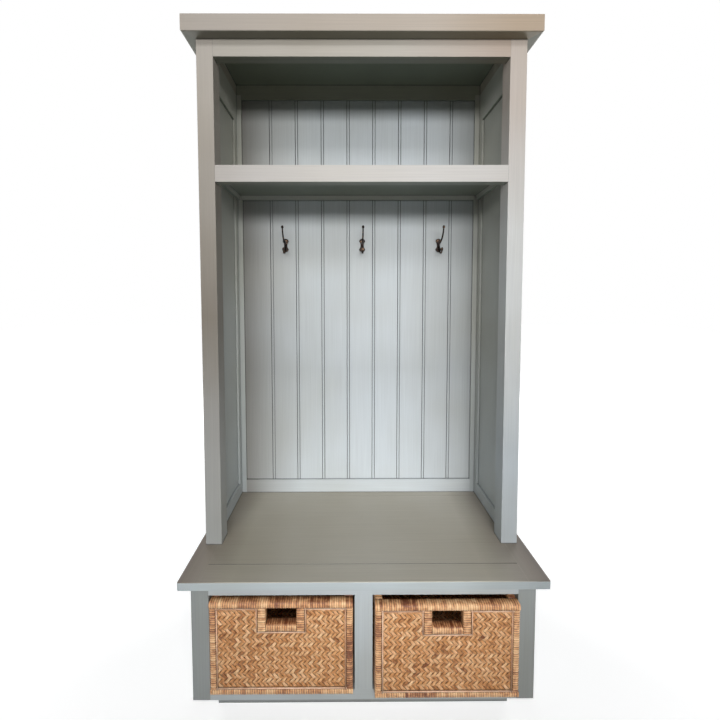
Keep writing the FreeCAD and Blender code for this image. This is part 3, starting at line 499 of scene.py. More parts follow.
# Painted shade towards both back corners, most at the left, and painted light in bands by height,
# darkest about 0.95 m up; deeper painted shade in its grooves.
BOARD_PAINT = BrushedPaint(
    "bead_board_paint",
    PaintedLightRamp(
        "X",
        ((-0.46, "#989793"), (-0.22, "#CFD6D9"), (0.2, "#D6DEE3"), (0.45, "#BCC1C3")),
        PaintedLightRamp("Z", ((0.5, "#F9F9F9"), (0.95, "#DCDCDC"), (1.35, "#F2F2F2"), (1.85, "#F9F9F9"))),
    ),
    "#D9DDDF",
    groove_shade=0.12,
)
PLANK_PAINT = replace(
    BOARD_PAINT, name="plank_paint", cracks=Cracks("X", -342.56 * MM, 102.44 * MM)
)
BRONZE = CastBronze()
WOVEN_CORE = Rattan("rattan_weave", "#FACFA1", "#D89A62", "#804827")
WRAPPED_PEEL = Rattan("rattan_wrap", "#F9D3A3", "#DBA170", "#7B462B", 0.42)
CANE_STRIP = Rattan("cane_strip", "#FBDCC2", "#EFC3A3", "#C79675", 0.4)


def only(parts: Iterable[Any], kind: type) -> list[Any]:
    """Those of the parts that are of one kind."""
    return [part for part in parts if isinstance(part, kind)]


def outline(verts: Iterable[BMVert]) -> list[BMEdge]:
    """The edges of a ring of corners, always in the same order."""
    return list(dict.fromkeys(edge for vert in verts for edge in vert.link_edges))


def grow(bm: BMesh, edges: list[BMEdge]) -> tuple[list[BMVert], list[BMEdge], list[BMFace]]:
    """Add a second outline on top of an open one, to be moved on.

    Args:
        bm: The mesh.
        edges: The open outline.

    Returns:
        The new outline's corners, its edges, and the faces between the two outlines.
    """
    grown = bmesh.ops.extrude_edge_only(bm, edges=edges)["geom"]
    verts = only(grown, BMVert)
    ahead = [edge for edge in only(grown, BMEdge) if all(v in verts for v in edge.verts)]
    return verts, ahead, only(grown, BMFace)


def cut(bm: BMesh, spot: Spot, out: Spot, clear: bool = False, near: float = 1e-6) -> None:
    """Cut a mesh by a plane.

    Args:
        bm: The mesh.
        spot: A point on the plane.
        out: The direction that the plane faces.
        clear: Whether what lies out there is cleared away.
        near: Corners this near to the plane count as on it.
    """
    geom = bm.verts[:] + bm.edges[:] + bm.faces[:]
    bmesh.ops.bisect_plane(
        bm, geom=geom, dist=near, plane_co=spot, plane_no=out, clear_outer=clear
    )


def close_ends(bm: BMesh) -> None:
    """Fill every opening of a mesh."""
    bmesh.ops.holes_fill(bm, edges=[edge for edge in bm.edges if edge.is_boundary], sides=0)


def settle(bm: BMesh, name: str) -> Mesh:
    """Turn a bmesh into a mesh of that name, and free it."""
    mesh = bpy.data.meshes.new(name)
    bm.to_mesh(mesh)
    bm.free()
    return mesh


def join(bm: BMesh, part: BMesh) -> None:
    """Add a part to a mesh, and free the part."""
    mesh = settle(part, "part")
    bm.from_mesh(mesh)
    bpy.data.meshes.remove(mesh)


def tone_layer(bm: BMesh) -> Any:
    """Where a mesh keeps the tones of its faces."""
    layers = bm.faces.layers.float
    return layers.get(TONE) or layers.new(TONE)


def show(name: str, content: Any) -> Object:
    """Put a mesh, a lamp or a camera into the scene."""
    shown = bpy.data.objects.new(name, content)
    bpy.context.scene.collection.objects.link(shown)
    return shown


def finish_piece(
    bm: BMesh,
    name: str,
    surface: Material,
    body: str,
    stands_for: Sequence[str],
    smooth: bool = True,
) -> Object:
    """Turn a bmesh into a piece that rides on a body.

    Args:
        bm: The piece's mesh, in place; it is freed.
        name: The piece's name.
        surface: Its material.
        body: The body it moves with.
        stands_for: The solids that it is shown for.
        smooth: Whether its faces are shaded smooth.

    Returns:
        The piece.
    """
    for face in bm.faces:
        face.smooth = smooth
    piece = show(name, settle(bm, name))
    piece.data.materials.append(surface)
    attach(piece, body)
    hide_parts(*stands_for)
    log.info("%s: %d faces, rides on %s", name, len(piece.data.polygons), body)
    return piece


def dress(nodes: Iterable[str], paint: BrushedPaint, grain: Grain) -> None:
    """Paint solids that keep their own shape.

    Args:
        nodes: Their names.
        paint: The paint.
        grain: Which way their wood runs.
    """
    surface = paint.surface(grain)
    for node in nodes:
        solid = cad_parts[node]
        solid.data.materials.clear()
        solid.data.materials.append(surface)
        log.info("%s: %s, grain %s", node, paint.name, grain.name.lower())


def both(*stems: str) -> list[str]:
    """Each name for the left and for the right."""
    return [f"{stem}_{side.value}" for stem in stems for side in Side]


class Bench:
    """The lower box with its plinth, face frame and framed seat."""

    def dress(self) -> None:
        """Paint the box and the seat."""
        upright = both("box_side") + ["box_divider", "box_mullion", "box_back"]
        dress(upright, BOX_PAINT, Grain.UPRIGHT)
        dress(["cubby_floor", "box_top_rail", "box_bottom_rail"], BOX_PAINT, Grain.ACROSS)
        dress(both("box_stile"), SHADED_STILE_PAINT, Grain.UPRIGHT)
        dress(["plinth_front"], SHADED_STILE_PAINT, Grain.ACROSS)
        dress(both("plinth"), SHADED_STILE_PAINT, Grain.DEEP)
        dress(["seat_front", "seat_panel", "seat_back"], SEAT_PAINT, Grain.ACROSS)
        dress(both("seat_end"), SEAT_END_PAINT, Grain.DEEP)


@dataclass
class Hutch:
    """The open upper part: posts, framed sides, shelf, bead-board back and crown."""

    planks: int = 9

    def dress(self) -> None:
        """Paint the hutch, each board along its own grain."""
        dress(["front_post_left"], LEFT_POST_SHADED_PAINT, Grain.UPRIGHT)
        dress(["front_post_right"], RIGHT_POST_LIT_PAINT, Grain.UPRIGHT)
        dress(["front_top_rail"], TOP_RAIL_PAINT, Grain.ACROSS)
        dress(["front_shelf_rail"], SHELF_RAIL_PAINT, Grain.ACROSS)
        dress(["shelf", "shelf_cleat_back"], SHADED_PANEL_PAINT, Grain.ACROSS)
        dress(both("side_panel", "rear_post"), SHADED_PANEL_PAINT, Grain.UPRIGHT)
        dress(both("side_top_rail", "side_bottom_rail", "shelf_cleat"), SHADED_PANEL_PAINT, Grain.DEEP)
        dress(["back_top_rail", "roof_panel"], SHADED_ROOF_PAINT, Grain.ACROSS)
        dress(["back_bottom_rail"], BOARD_PAINT, Grain.ACROSS)
        dress(["back_plank_1"], BOARD_PAINT, Grain.UPRIGHT)
        planks = [f"back_plank_{n}" for n in range(2, self.planks + 1)]
        dress(planks, PLANK_PAINT, Grain.UPRIGHT)
        dress(["crown_front"], CROWN_PAINT, Grain.ACROSS)
        dress(both("crown"), CROWN_END_PAINT, Grain.DEEP)


@dataclass(frozen=True)
class Arm:
    """One arm of a coat hook: a straight root, a bend and a bud.

    Attributes:
        rise: Height of the root over the middle of the plate.
        root: Length of the straight part.
        sweep: Radius of the bend.
        fall: Degrees that the root falls.
        lift: Degrees that the end rises.
        thick: Half the thickness at the root.
        thin: Half the thickness under the bud.
    """

    rise: float
    root: float
    sweep: float
    fall: float
    lift: float
    thick: float
    thin: float


UPPER_ARM = Arm(7.0 * MM, 13.0 * MM, 58.0 * MM, 0.0, 80.0, 4.2 * MM, 2.7 * MM)
LOWER_ARM = Arm(2.0 * MM, 41.6 * MM, 13.5 * MM, 52.5, 75.0, 4.0 * MM, 3.0 * MM)
# The bud's outline: shares of its length, and of its radius. The first is a share of the
# arm's own radius, for the collar that the bud sits on.
BUD = ((0.02, 1.25), (0.16, 0.98), (0.4, 1.0), (0.66, 0.94), (0.86, 0.66), (1.0, 0.3))


@dataclass
class CoatHook:
    """A cast double hook: a lobed plate, a long upper arm and a short lower arm."""

    place: str
    lobe: float = 12.5 * MM
    reach: float = 14.5 * MM
    waist: float = 6.0 * MM
    plate: float = 4.0 * MM
    border: float = 2.2 * MM
    bud_wide: float = 5.2 * MM
    bud_long: float = 11.0 * MM
    bud_tip: float = 2.2 * MM

    def backing(self) -> BMesh:
        """The waisted plate, domed a little, standing on the plane y = 0."""
        bm = bmesh.new()
        bmesh.ops.create_circle(bm, cap_ends=True, segments=32, radius=1.0)
        for vert in bm.verts:
            up = vert.co.y * (self.reach + self.lobe)
            over = abs(abs(up) - self.reach)
            wide = math.sqrt(max(self.lobe**2 - over**2, 0.0))
            if abs(up) < self.reach:
                wide = self.waist + (wide - self.waist) * (abs(up) / self.reach) ** 3
            # The circle's corners move out to the lobes' outline, all but those at the tips.
            side = math.copysign(min(1.0, abs(vert.co.x) * 8), vert.co.x)
            vert.co = Vector((side * max(wide, 0.3 * MM), 0.0, up))
        bmesh.ops.recalc_face_normals(bm, faces=bm.faces)
        grown = bmesh.ops.extrude_face_region(bm, geom=bm.faces[:])["geom"]
        # The plate is 0.55 of its thickness at the edge; the dome gives it the rest.
        bmesh.ops.translate(bm, verts=only(grown, BMVert), vec=(0, -self.plate * 0.55, 0))
        lid = only(grown, BMFace)
        bmesh.ops.inset_region(bm, faces=lid, thickness=self.border, depth=0)
        inner = {vert for face in lid for vert in face.verts}
        bmesh.ops.translate(bm, verts=list(inner), vec=(0, -self.plate * 0.45, 0))
        bmesh.ops.recalc_face_normals(bm, faces=bm.faces)
        return bm

    def grow_arm(self, bm: BMesh, arm: Arm) -> None:
        """Grow one arm from the plate.

        Args:
            bm: The hook's mesh.
            arm: The arm.
        """
        size, spot = arm.thick, Vector((0, 0, arm.rise))
        fall = math.radians(arm.fall)
        heading = Vector((0, -math.cos(fall), -math.sin(fall)))
        ring = bmesh.ops.create_circle(bm, segments=12, radius=size)["verts"]
        stand = Matrix.Rotation(math.radians(90 - arm.fall), 3, "X")
        bmesh.ops.rotate(bm, verts=ring, cent=(0, 0, 0), matrix=stand)
        bmesh.ops.translate(bm, verts=ring, vec=spot)
        edges = outline(ring)

        def step(way: float, angle: float, new_size: float) -> None:
            """Go on by a straight way or by an angle of the bend, to a new radius."""
            nonlocal size, spot, heading, edges
            verts, edges, _ = grow(bm, edges)
            if angle:
                centre = spot + Vector((0, heading.z, -heading.y)) * arm.sweep
                turn = Matrix.Rotation(-angle, 3, "X")
                bmesh.ops.rotate(bm, verts=verts, cent=centre, matrix=turn)
                spot = centre + turn @ (spot - centre)
                heading = turn @ heading
            else:
                bmesh.ops.translate(bm, verts=verts, vec=heading * way)
                spot = spot + heading * way
            scale = (new_size / size,) * 3
            bmesh.ops.scale(bm, verts=verts, vec=scale, space=Matrix.Translation(-spot))
            size = new_size

        arc = math.radians(arm.fall + arm.lift)
        total = arm.root + arm.sweep * arc
        gone = 0.0
        for way, angle in [(arm.root / 3, 0.0)] * 3 + [(0.0, arc / 10)] * 10:
            gone += way + angle * arm.sweep
            step(way, angle, arm.thick + (arm.thin - arm.thick) * (gone / total) ** 0.8)
        last = 0.0
        for n, (along, wide) in enumerate(BUD):
            step((along - last) * self.bud_long, 0.0, (self.bud_wide if n else arm.thin) * wide)
            last = along
        close_ends(bm)

    def build(self) -> Object:
        """Build the hook on the planks, where its solid is."""
        solid = f"coat_hook_{self.place}"
        low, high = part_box(solid)
        bm = self.backing()
        for arm in (UPPER_ARM, LOWER_ARM):
            self.grow_arm(bm, arm)
        # The boss that both arms spring from, a little narrower than the waist.
        boss = bmesh.ops.create_uvsphere(bm, u_segments=16, v_segments=10, radius=1.0)["verts"]
        shape = Matrix.Diagonal((self.waist * 0.95, 7.5 * MM, 10.0 * MM, 1.0))
        bmesh.ops.transform(bm, verts=boss, matrix=Matrix.Translation((0, 0, 1.5 * MM)) @ shape)
        bmesh.ops.recalc_face_normals(bm, faces=bm.faces)
        spot = ((low.x + high.x) / 2, high.y, high.z - self.top_reach())
        bmesh.ops.translate(bm, verts=bm.verts, vec=spot)
        hook = finish_piece(
            bm, f"hook_{self.place}", BRONZE.surface(), "cabinet", [solid]
        )
        rounding = hook.modifiers.new("rounding", "SUBSURF")
        rounding.levels = rounding.render_levels = 2
        return hook

    def top_reach(self) -> float:
        """Height of the upper bud's tip over the middle of the plate."""
        lift = math.radians(UPPER_ARM.lift)
        rise = UPPER_ARM.rise + UPPER_ARM.sweep * (1 - math.cos(lift))
        return rise + self.bud_long * math.sin(lift) + self.bud_tip * math.cos(lift)


@dataclass
class Screws:
    """The six dome-headed slotted screws that hold the hooks."""

    radius: float = 3.2 * MM
    slot: float = 0.5 * MM
    deep: float = 0.6 * MM
    high: float = 1.6 * MM

    def head(self, bm: BMesh, spot: Vector) -> None:
        """Add one head that rises from its spot towards -y.

        Args:
            bm: The screws' mesh.
            spot: The middle of the head's underside.
        """
        dome = bmesh.new()
        bmesh.ops.create_circle(dome, cap_ends=True, segments=20, radius=self.radius)
        # Each step of the dome goes in and then up, in millimetres.
        for inset, rise in ((0.0, 0.5), (0.4, 0.4), (0.7, 0.35), (0.9, 0.2)):
            lid = [face for face in dome.faces if len(face.verts) > 4]
            if inset:
                bmesh.ops.inset_region(dome, faces=lid, thickness=inset * MM, depth=0)
            else:
                lid = only(bmesh.ops.extrude_face_region(dome, geom=lid)["geom"], BMFace)
            top = {vert for face in lid for vert in face.verts}
            bmesh.ops.translate(dome, verts=list(top), vec=(0, 0, rise * MM))
        for side in (-1, 1):
            cut(dome, (0, side * self.slot, 0), (0, 1, 0), near=1e-7)
        floor = [
            face
            for face in dome.faces
            if face.normal.z > 0.3 and abs(face.calc_center_median().y) < self.slot
        ]
        sunk = bmesh.ops.extrude_face_region(dome, geom=floor)["geom"]
        bmesh.ops.delete(dome, geom=floor, context="FACES_ONLY")
        bmesh.ops.translate(dome, verts=only(sunk, BMVert), vec=(0, 0, -self.deep))
        turn = Matrix.Rotation(math.pi / 2, 3, "X")
        bmesh.ops.rotate(dome, verts=dome.verts, cent=(0, 0, 0), matrix=turn)
        bmesh.ops.translate(dome, verts=dome.verts, vec=spot)
        join(bm, dome)

    def build(self) -> Object:
        """Build the heads over those of the solids."""
        low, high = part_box("hook_screws")
        bm = bmesh.new()
        for x in (low.x + self.radius, (low.x + high.x) / 2, high.x - self.radius):
            for z in (low.z + self.radius, high.z - self.radius):
                self.head(bm, Vector((x, low.y + self.high, z)))
        bmesh.ops.recalc_face_normals(bm, faces=bm.faces)
        return finish_piece(
            bm, "hook_screw_heads", BRONZE.surface(), "cabinet",
            ["hook_screws"], smooth=False,
        )


# More than the floats of the longest strand, to number strands and floats in one.
FLOATS = 64


@dataclass
class Loom:
    """Weaves sheets of twill from paired strands that run at 45 degrees.

    Attributes:
        pitch: The distance between strands.
        thick: How thick a strand is.
        swing: How far a strand swings to each side of the sheet's middle.
        fill: How much of its pitch a strand fills.
        jitter: How far strands lie off their place, as a share of the pitch.
        tone: The mean tone of the darker strands.
        pale: How much paler every second strand is.
        uneven: How much the tone varies from strand to strand and from float to float.
        chance: What the strands' places are drawn from.
        sheets: The sheets that are woven already, by their size.
    """

    pitch: float = 9.65 * MM
    thick: float = 3.0 * MM
    swing: float = 1.9 * MM
    fill: float = 0.9
    jitter: float = 0.06
    tone: float = 0.53
    pale: float = 0.13
    uneven: Point = (0.08, 0.11)
    chance: random.Random = field(default_factory=lambda: random.Random(7))
    sheets: dict[Point, Mesh] = field(default_factory=dict)

    def strand(self, length: float) -> Mesh:
        """A strand along x that goes over two and under two, from the start of an over.

        Args:
            length: How long it is at least.

        Returns:
            The strand's mesh, centred on the x axis; each face carries the number of its float.
        """
        wide = self.pitch * self.fill
        wave = (0.0, 0.86, 1.0, 0.86, 0.0, -0.86, -1.0, -0.86)
        bm = bmesh.new()
        number = bm.faces.layers.int.new("strand_number")
        ring = bmesh.ops.create_circle(bm, segments=8, radius=1.0)["verts"]
        for vert in ring:
            side, rise = vert.co.x, vert.co.y
            if abs(side) < 0.1:
                # The furrow between the two canes of the pair.
                rise *= 0.4
            elif abs(side) < 0.9:
                # The crown of each cane.
                side, rise = math.copysign(0.54, side), math.copysign(1.0, rise)
            vert.co = Vector((0, side * wide / 2, rise * self.thick / 2))
        edges = outline(ring)
        for n in range(1, math.ceil(length / (self.pitch / 2)) + 1):
            verts, edges, faces = grow(bm, edges)
            rise = (wave[n % 8] - wave[(n - 1) % 8]) * self.swing
            bmesh.ops.translate(bm, verts=verts, vec=(self.pitch / 2, 0, rise))
            for face in faces:
                face[number] = n // 8
        bmesh.ops.recalc_face_normals(bm, faces=bm.faces)
        return settle(bm, "strand")

    def weave(self, wide: float, high: float) -> Mesh:
        """Weave a sheet that stands on the plane y = 0, its outside to -y.

        Args:
            wide: The sheet's width along x, from zero.
            high: The sheet's height along z, from zero.

        Returns:
            The sheet's mesh; each face carries the number of its strand and float.
        """
        pitch, half = self.pitch, math.sqrt(0.5)
        # The twill repeats every four strands.
        repeat = 4 * pitch
        bm = bmesh.new()
        # Long enough for the longest slant, with more than a repeat over at each end.
        template = self.strand((wide + high) * half + 10 * pitch)
        number = 0
        for slant in (-1, 1):
            along = Vector((slant * half, 0, half))
            over = Vector((-slant * half, 0, half))
            reach = (-wide * half, high * half) if slant > 0 else (0, (wide + high) * half)
            for n in range(math.floor(reach[0] / pitch) - 1, math.ceil(reach[1] / pitch) + 1):
                across = (n + 0.5 + self.chance.uniform(-self.jitter, self.jitter)) * pitch
                if slant > 0:
                    start, phase = abs(across) - repeat, -n * pitch
                else:
                    start = -min(across, 2 * wide * half - across) - repeat
                    phase = (2 - n) * pitch
                start = phase + math.floor((start - phase) / repeat) * repeat
                verts_before, faces_before = len(bm.verts), len(bm.faces)
                bm.from_mesh(template)
                layer = bm.faces.layers.int["strand_number"]
                bm.verts.ensure_lookup_table()
                bm.faces.ensure_lookup_table()
                faces = bm.faces[faces_before:]
                if slant < 0:
                    # These strands are laid as their mirror image.
                    bmesh.ops.reverse_faces(bm, faces=faces)
                axes = Matrix((along, over, Vector((0, -1, 0)))).transposed().to_4x4()
                place = Matrix.Translation(along * start + over * across) @ axes
                bmesh.ops.transform(bm, verts=bm.verts[verts_before:], matrix=place)
                number += 1
                for face in faces:
                    face[layer] += FLOATS * (2 * number + n % 2)
        bpy.data.meshes.remove(template)
        for spot, out in (
            ((0, 0, 0), (-1, 0, 0)),
            ((wide, 0, 0), (1, 0, 0)),
            ((0, 0, 0), (0, 0, -1)),
            ((0, 0, high), (0, 0, 1)),
        ):
            cut(bm, spot, out, clear=True)
        close_ends(bm)
        mesh = settle(bm, "woven_sheet")
        mesh["strands"] = 2 * number + 2
        return mesh

    def sheet(self, wide: float, high: float, chance: random.Random) -> BMesh:
        """A sheet of that size, each strand with a tone of its own.

        Args:
            wide: Its width along x.
            high: Its height along z.
            chance: What the tones are drawn from.

        Returns:
            The sheet; every second strand is paler.
        """
        size = (round(wide, 5), round(high, 5))
        if size not in self.sheets:
            self.sheets[size] = self.weave(wide, high)
        bm = bmesh.new()
        bm.from_mesh(self.sheets[size])
        # Drawn by number and not by face, because the order of the faces may change.
        tones: list[float] = []
        for strand in range(self.sheets[size]["strands"]):
            level = chance.gauss(self.tone, self.uneven[0]) + (self.pale if strand % 2 else 0.0)
            tones += [level + chance.gauss(0.0, self.uneven[1]) for _ in range(FLOATS)]
        tone, number = tone_layer(bm), bm.faces.layers.int["strand_number"]
        for face in bm.faces:
            face[tone] = tones[face[number]]
        return bm


# One turn of a wrap: how far along it is, how deep it dips as a share of how proud it
# stands, and how much darker it is painted there. The dark parts are painted shade in the
# grooves between turns.
TURN = ((0.14, 0.3, 0.36), (0.5, 0.0, 0.0), (0.86, 0.1, 0.0), (1.0, 1.0, 0.36))
# The tones that runs of wraps have; the one far under the others is an aged strip.
WRAP_TONES = (0.62, 0.72, 0.56, 0.8, 0.34, 0.66, 0.48)
STAND = Matrix.Rotation(-math.pi / 2, 4, "Y")


@dataclass
class Basket:
    """A woven basket with a wrapped frame and a hand hole in its front."""

    side: Side
    loom: Loom
    wall: float = 7.0 * MM
    skin: float = 3.5 * MM
    corner: float = 19.0 * MM
    foot: float = 17.0 * MM
    rim_high: float = 17.0 * MM
    rim_deep: float = 24.0 * MM
    rim_round: float = 7.0 * MM
    hole_wide: float = 89.0 * MM
    hole_high: float = 49.0 * MM
    border: float = 23.5 * MM
    sill: float = 21.0 * MM
    weave_inset: float = 1.0 * MM
    weave_foot: float = 2.0 * MM
    floor_rise: float = 4.5 * MM
    wrap: float = 6.8 * MM
    wrap_proud: float = 1.3 * MM
    wrap_uneven: float = 0.1
    wrap_dip: float = 0.25
    runs: tuple[int, int] = (3, 14)
    # How much darker the tops of the rim and the sill are, as painted shade.
    rim_top_shade: float = 0.1
    sill_top_shade: float = 0.4
    reed: float = 3.6 * MM
    reed_sunk: float = 0.3 * MM
    reed_gap: float = 1.2 * MM
    reed_tone: Point = (0.55, 0.8)
    low: Vector = field(init=False)
    size: Vector = field(init=False)
    chance: random.Random = field(init=False)

    def __post_init__(self) -> None:
        """Take the basket's place and its whole size from its solids."""
        rim_low, rim_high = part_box(f"basket_rim_{self.side.value}")
        edge_low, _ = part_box(f"basket_edging_{self.side.value}")
        self.low = Vector((rim_low.x, rim_low.y, edge_low.z))
        self.size = rim_high - self.low
        self.chance = random.Random(11 if self.side is Side.LEFT else 29)

    @property
    def body(self) -> str:
        """The body that the basket is."""
        return f"{self.side.value}_basket"

    @property
    def deck(self) -> float:
        """Height of the rim's underside over the basket's foot."""
        return self.size.z - self.rim_high

    def finish(self, bm: BMesh, part: str, rattan: Rattan, solid: str) -> None:
        """Turn a part of the basket into a piece.

        Args:
            bm: The part's mesh, in place.
            part: The part's name.
            rattan: What it is made of.
            solid: The basket's solid that it is shown for.
        """
        stands_for = [f"basket_{solid}_{self.side.value}"]
        finish_piece(bm, f"{self.body}_{part}", rattan.surface(), self.body, stands_for)

    def wrapped_bar(
        self,
        bm: BMesh,
        length: float,
        section: Point,
        rounds: tuple[float, float, float, float],
        place: Matrix,
        top_shade: float = 0.0,
    ) -> None:
        """Add a bar bound with strands side by side, in runs of one tone.

        Args:
            bm: The mesh it goes into.
            length: The bar's length, along x from zero.
            section: Its size along y and z, both from zero.
            rounds: Radii of the corners at (0, 0), (y, 0), (y, z) and (0, z).
            place: Where the bar goes.
            top_shade: How much darker its upper side is, as painted shade.
        """
        tone_layer(bm)
        deep, high = section
        bar = bmesh.new()
        ends = ((0, 0, 0), (0, deep, 0), (0, deep, high), (0, 0, high))
        corners = [bar.verts.new(end) for end in ends]
        bar.faces.new(corners)
        for corner, radius in zip(corners, rounds):
            # Only a wide round takes more than one facet.
            bmesh.ops.bevel(
                bar, geom=[corner], offset=radius, segments=3 if radius > 4 * MM else 1,
                profile=0.5, affect="VERTICES", material=-1,
            )
        bmesh.ops.delete(bar, geom=bar.faces[:], context="FACES_ONLY")
        tone = tone_layer(bar)
        edges, scale = bar.edges[:], (1.0, 1.0)
        middle = Matrix.Translation((0, -deep / 2, -high / 2))

        def sink(verts: list[BMVert], depth: float) -> None:
            """Draw an outline in, to a depth under the bar's own."""
            nonlocal scale
            wanted = (1 - 2 * depth / deep, 1 - 2 * depth / high)
            factor = (1, wanted[0] / scale[0], wanted[1] / scale[1])
            bmesh.ops.scale(bar, verts=verts, vec=factor, space=middle)
            scale = wanted

        sink(bar.verts[:], self.wrap_proud)
        count = max(1, round(length / self.wrap))
        pitch = length / count
        level, run = 0.0, 0
        for _ in range(count):
            if run == 0:
                run = self.chance.randint(*self.runs)
                level = self.chance.choice(WRAP_TONES)
            run -= 1
            shade = level + self.chance.gauss(0, self.wrap_uneven)
            last, dip = 0.0, self.chance.uniform(0, self.wrap_dip)
            for along, depth, dark in TURN:
                verts, edges, faces = grow(bar, edges)
                # Faces that dip into the grooves take painted shade.
                for face in faces:
                    face[tone] = shade - dark
                bmesh.ops.translate(bar, verts=verts, vec=((along - last) * pitch, 0, 0))
                sink(verts, self.wrap_proud * min(1.0, depth + dip * (depth < 1)))
                last = along
        close_ends(bar)
        bmesh.ops.recalc_face_normals(bar, faces=bar.faces)
        # Painted shade: faces that look up are darker by grip.
        for face in bar.faces:
            if face.normal.z > 0.5:
                face[tone] -= top_shade
        bmesh.ops.transform(bar, verts=bar.verts, matrix=place)
        join(bm, bar)

    def on_face(self, face: Face) -> tuple[Matrix, float]:
        """The place of one face.

        Args:
            face: Which face.

        Returns:
            The matrix that brings a sheet on the plane y = 0, seen from -y, to that face,
            and the face's width.
        """
        wide, deep = self.size.x, self.size.y
        if face in (Face.RIGHT, Face.LEFT):
            wide, deep = deep, wide
        middle = self.low + Vector((self.size.x / 2, self.size.y / 2, 0))
        turn = Matrix.Rotation(face.value, 4, "Z")
        shift = Matrix.Translation((-wide / 2, -deep / 2, 0))
        return Matrix.Translation(middle) @ turn @ shift, wide

    def run_along(self, face: Face, deep: float) -> Point:
        """Where a bar of that depth starts along a face, and its length.

        The bars of the front and the back run through, and the others fit between them.
        """
        wide = self.on_face(face)[1]
        return (0.0, wide) if face in (Face.FRONT, Face.BACK) else (deep, wide - 2 * deep)

    def weave(self) -> None:
        """Weave the four walls and the floor."""
        inset = self.skin + self.weave_inset
        high = self.deck - self.weave_foot
        lift = Matrix.Translation((inset, self.skin + self.wall / 2, self.weave_foot))
        for face in Face:
            place, wide = self.on_face(face)
            sheet = self.loom.sheet(wide - 2 * inset, high, self.chance)
            if face is Face.FRONT:
                self.open_hand_hole(sheet, wide - 2 * inset, high)
            bmesh.ops.transform(sheet, verts=sheet.verts, matrix=place @ lift)
            part = f"weave_{face.name.lower()}"
            self.finish(sheet, part, WOVEN_CORE, "shell")
        floor = self.loom.sheet(self.size.x - 2 * inset, self.size.y - 2 * inset, self.chance)
        # The floor's outside looks down.
        corner = self.low + Vector((inset, self.size.y - inset, self.floor_rise))
        lay = Matrix.Translation(corner) @ Matrix.Rotation(math.pi / 2, 4, "X")
        bmesh.ops.transform(floor, verts=floor.verts, matrix=lay)
        self.finish(floor, "weave_floor", WOVEN_CORE, "shell")

    def open_hand_hole(self, sheet: BMesh, wide: float, high: float) -> None:
        """Cut the hand hole into a sheet, out to the middle of the hole's border."""
        half = self.hole_wide / 2 + self.border / 2
        sill = high - self.hole_high - self.sill / 2
        cut(sheet, (wide / 2 - half, 0, 0), (1, 0, 0))
        cut(sheet, (wide / 2 + half, 0, 0), (1, 0, 0))
        cut(sheet, (0, 0, sill), (0, 0, 1))
        inside = []
        for face in sheet.faces:
            spot = face.calc_center_median()
            if abs(spot.x - wide / 2) < half and spot.z > sill:
                inside.append(face)
        bmesh.ops.delete(sheet, geom=inside, context="FACES")

    def bind_frame(self) -> None:
        """Bind the foot and the upright corners."""
        bm = bmesh.new()
        small = 1.5 * MM
        deep = self.skin + self.wall
        for face in Face:
            place, _ = self.on_face(face)
            start, length = self.run_along(face, deep)
            self.wrapped_bar(
                bm, length, (deep, self.foot), (3 * MM, small, small, small),
                place @ Matrix.Translation((start, 0, 0)),
            )
            # Each upright corner goes with the face to its right. The bar's length turns up
            # and its own z turns to the left, so it starts at the corner.
            spot = Matrix.Translation((self.corner, 0, self.foot))
            self.wrapped_bar(
                bm, self.deck - self.foot, (self.corner, self.corner),
                (small, small, small, 6 * MM), place @ spot @ STAND,
            )
        self.finish(bm, "binding", WRAPPED_PEEL, "edging")

    def bind_rim(self) -> None:
        """Bind the top rim and the border of the hand hole."""
        bm = bmesh.new()
        small, top_shade = 2.0 * MM, self.rim_top_shade
        for face in Face:
            start, length = self.run_along(face, self.rim_deep)
            place = self.on_face(face)[0] @ Matrix.Translation((start, 0, self.deck))
            rounds = (1.2 * MM, small, small, self.rim_round)
            self.wrapped_bar(bm, length, (self.rim_deep, self.rim_high), rounds, place, top_shade)
        place, wide = self.on_face(Face.FRONT)
        tall = self.hole_high + self.sill
        near, foot = wide / 2 - self.hole_wide / 2, self.deck - self.hole_high - self.sill
        for edge in (near, wide / 2 + self.hole_wide / 2 + self.border):
            spot = Matrix.Translation((edge, 0, foot))
            section = (self.rim_deep, self.border)
            self.wrapped_bar(bm, tall, section, (small,) * 4, place @ spot @ STAND)
        place = place @ Matrix.Translation((near, 0, foot))
        section = (self.rim_deep, self.sill)
        self.wrapped_bar(bm, self.hole_wide, section, (small,) * 4, place, self.sill_top_shade)
        self.finish(bm, "rim", WRAPPED_PEEL, "rim")

    def lay_reeds(self) -> None:
        """Lay the pale strip of cane along the inner edge of every border."""
        bm = bmesh.new()
        foot, top = self.foot, self.deck
        for face in Face:
            place, wide = self.on_face(face)
            left, right = self.corner, wide - self.corner
            route = [
                ((left, foot), (left, top)),
                ((right, foot), (right, top)),
                ((left, foot), (right, foot)),
            ]
            if face is Face.FRONT:
                near = wide / 2 - self.hole_wide / 2 - self.border
                far = wide - near
                under = top - self.hole_high - self.sill
                route += [
                    ((left, top), (near, top)),
                    ((far, top), (right, top)),
                    ((near, under), (near, top)),
                    ((far, under), (far, top)),
                    ((near, under), (far, under)),
                ]
            else:
                route.append(((left, top), (right, top)))
            for first, last in route:
                self.reed_run(bm, place, wide / 2, first, last)
        self.finish(bm, "reeds", CANE_STRIP, "edging")

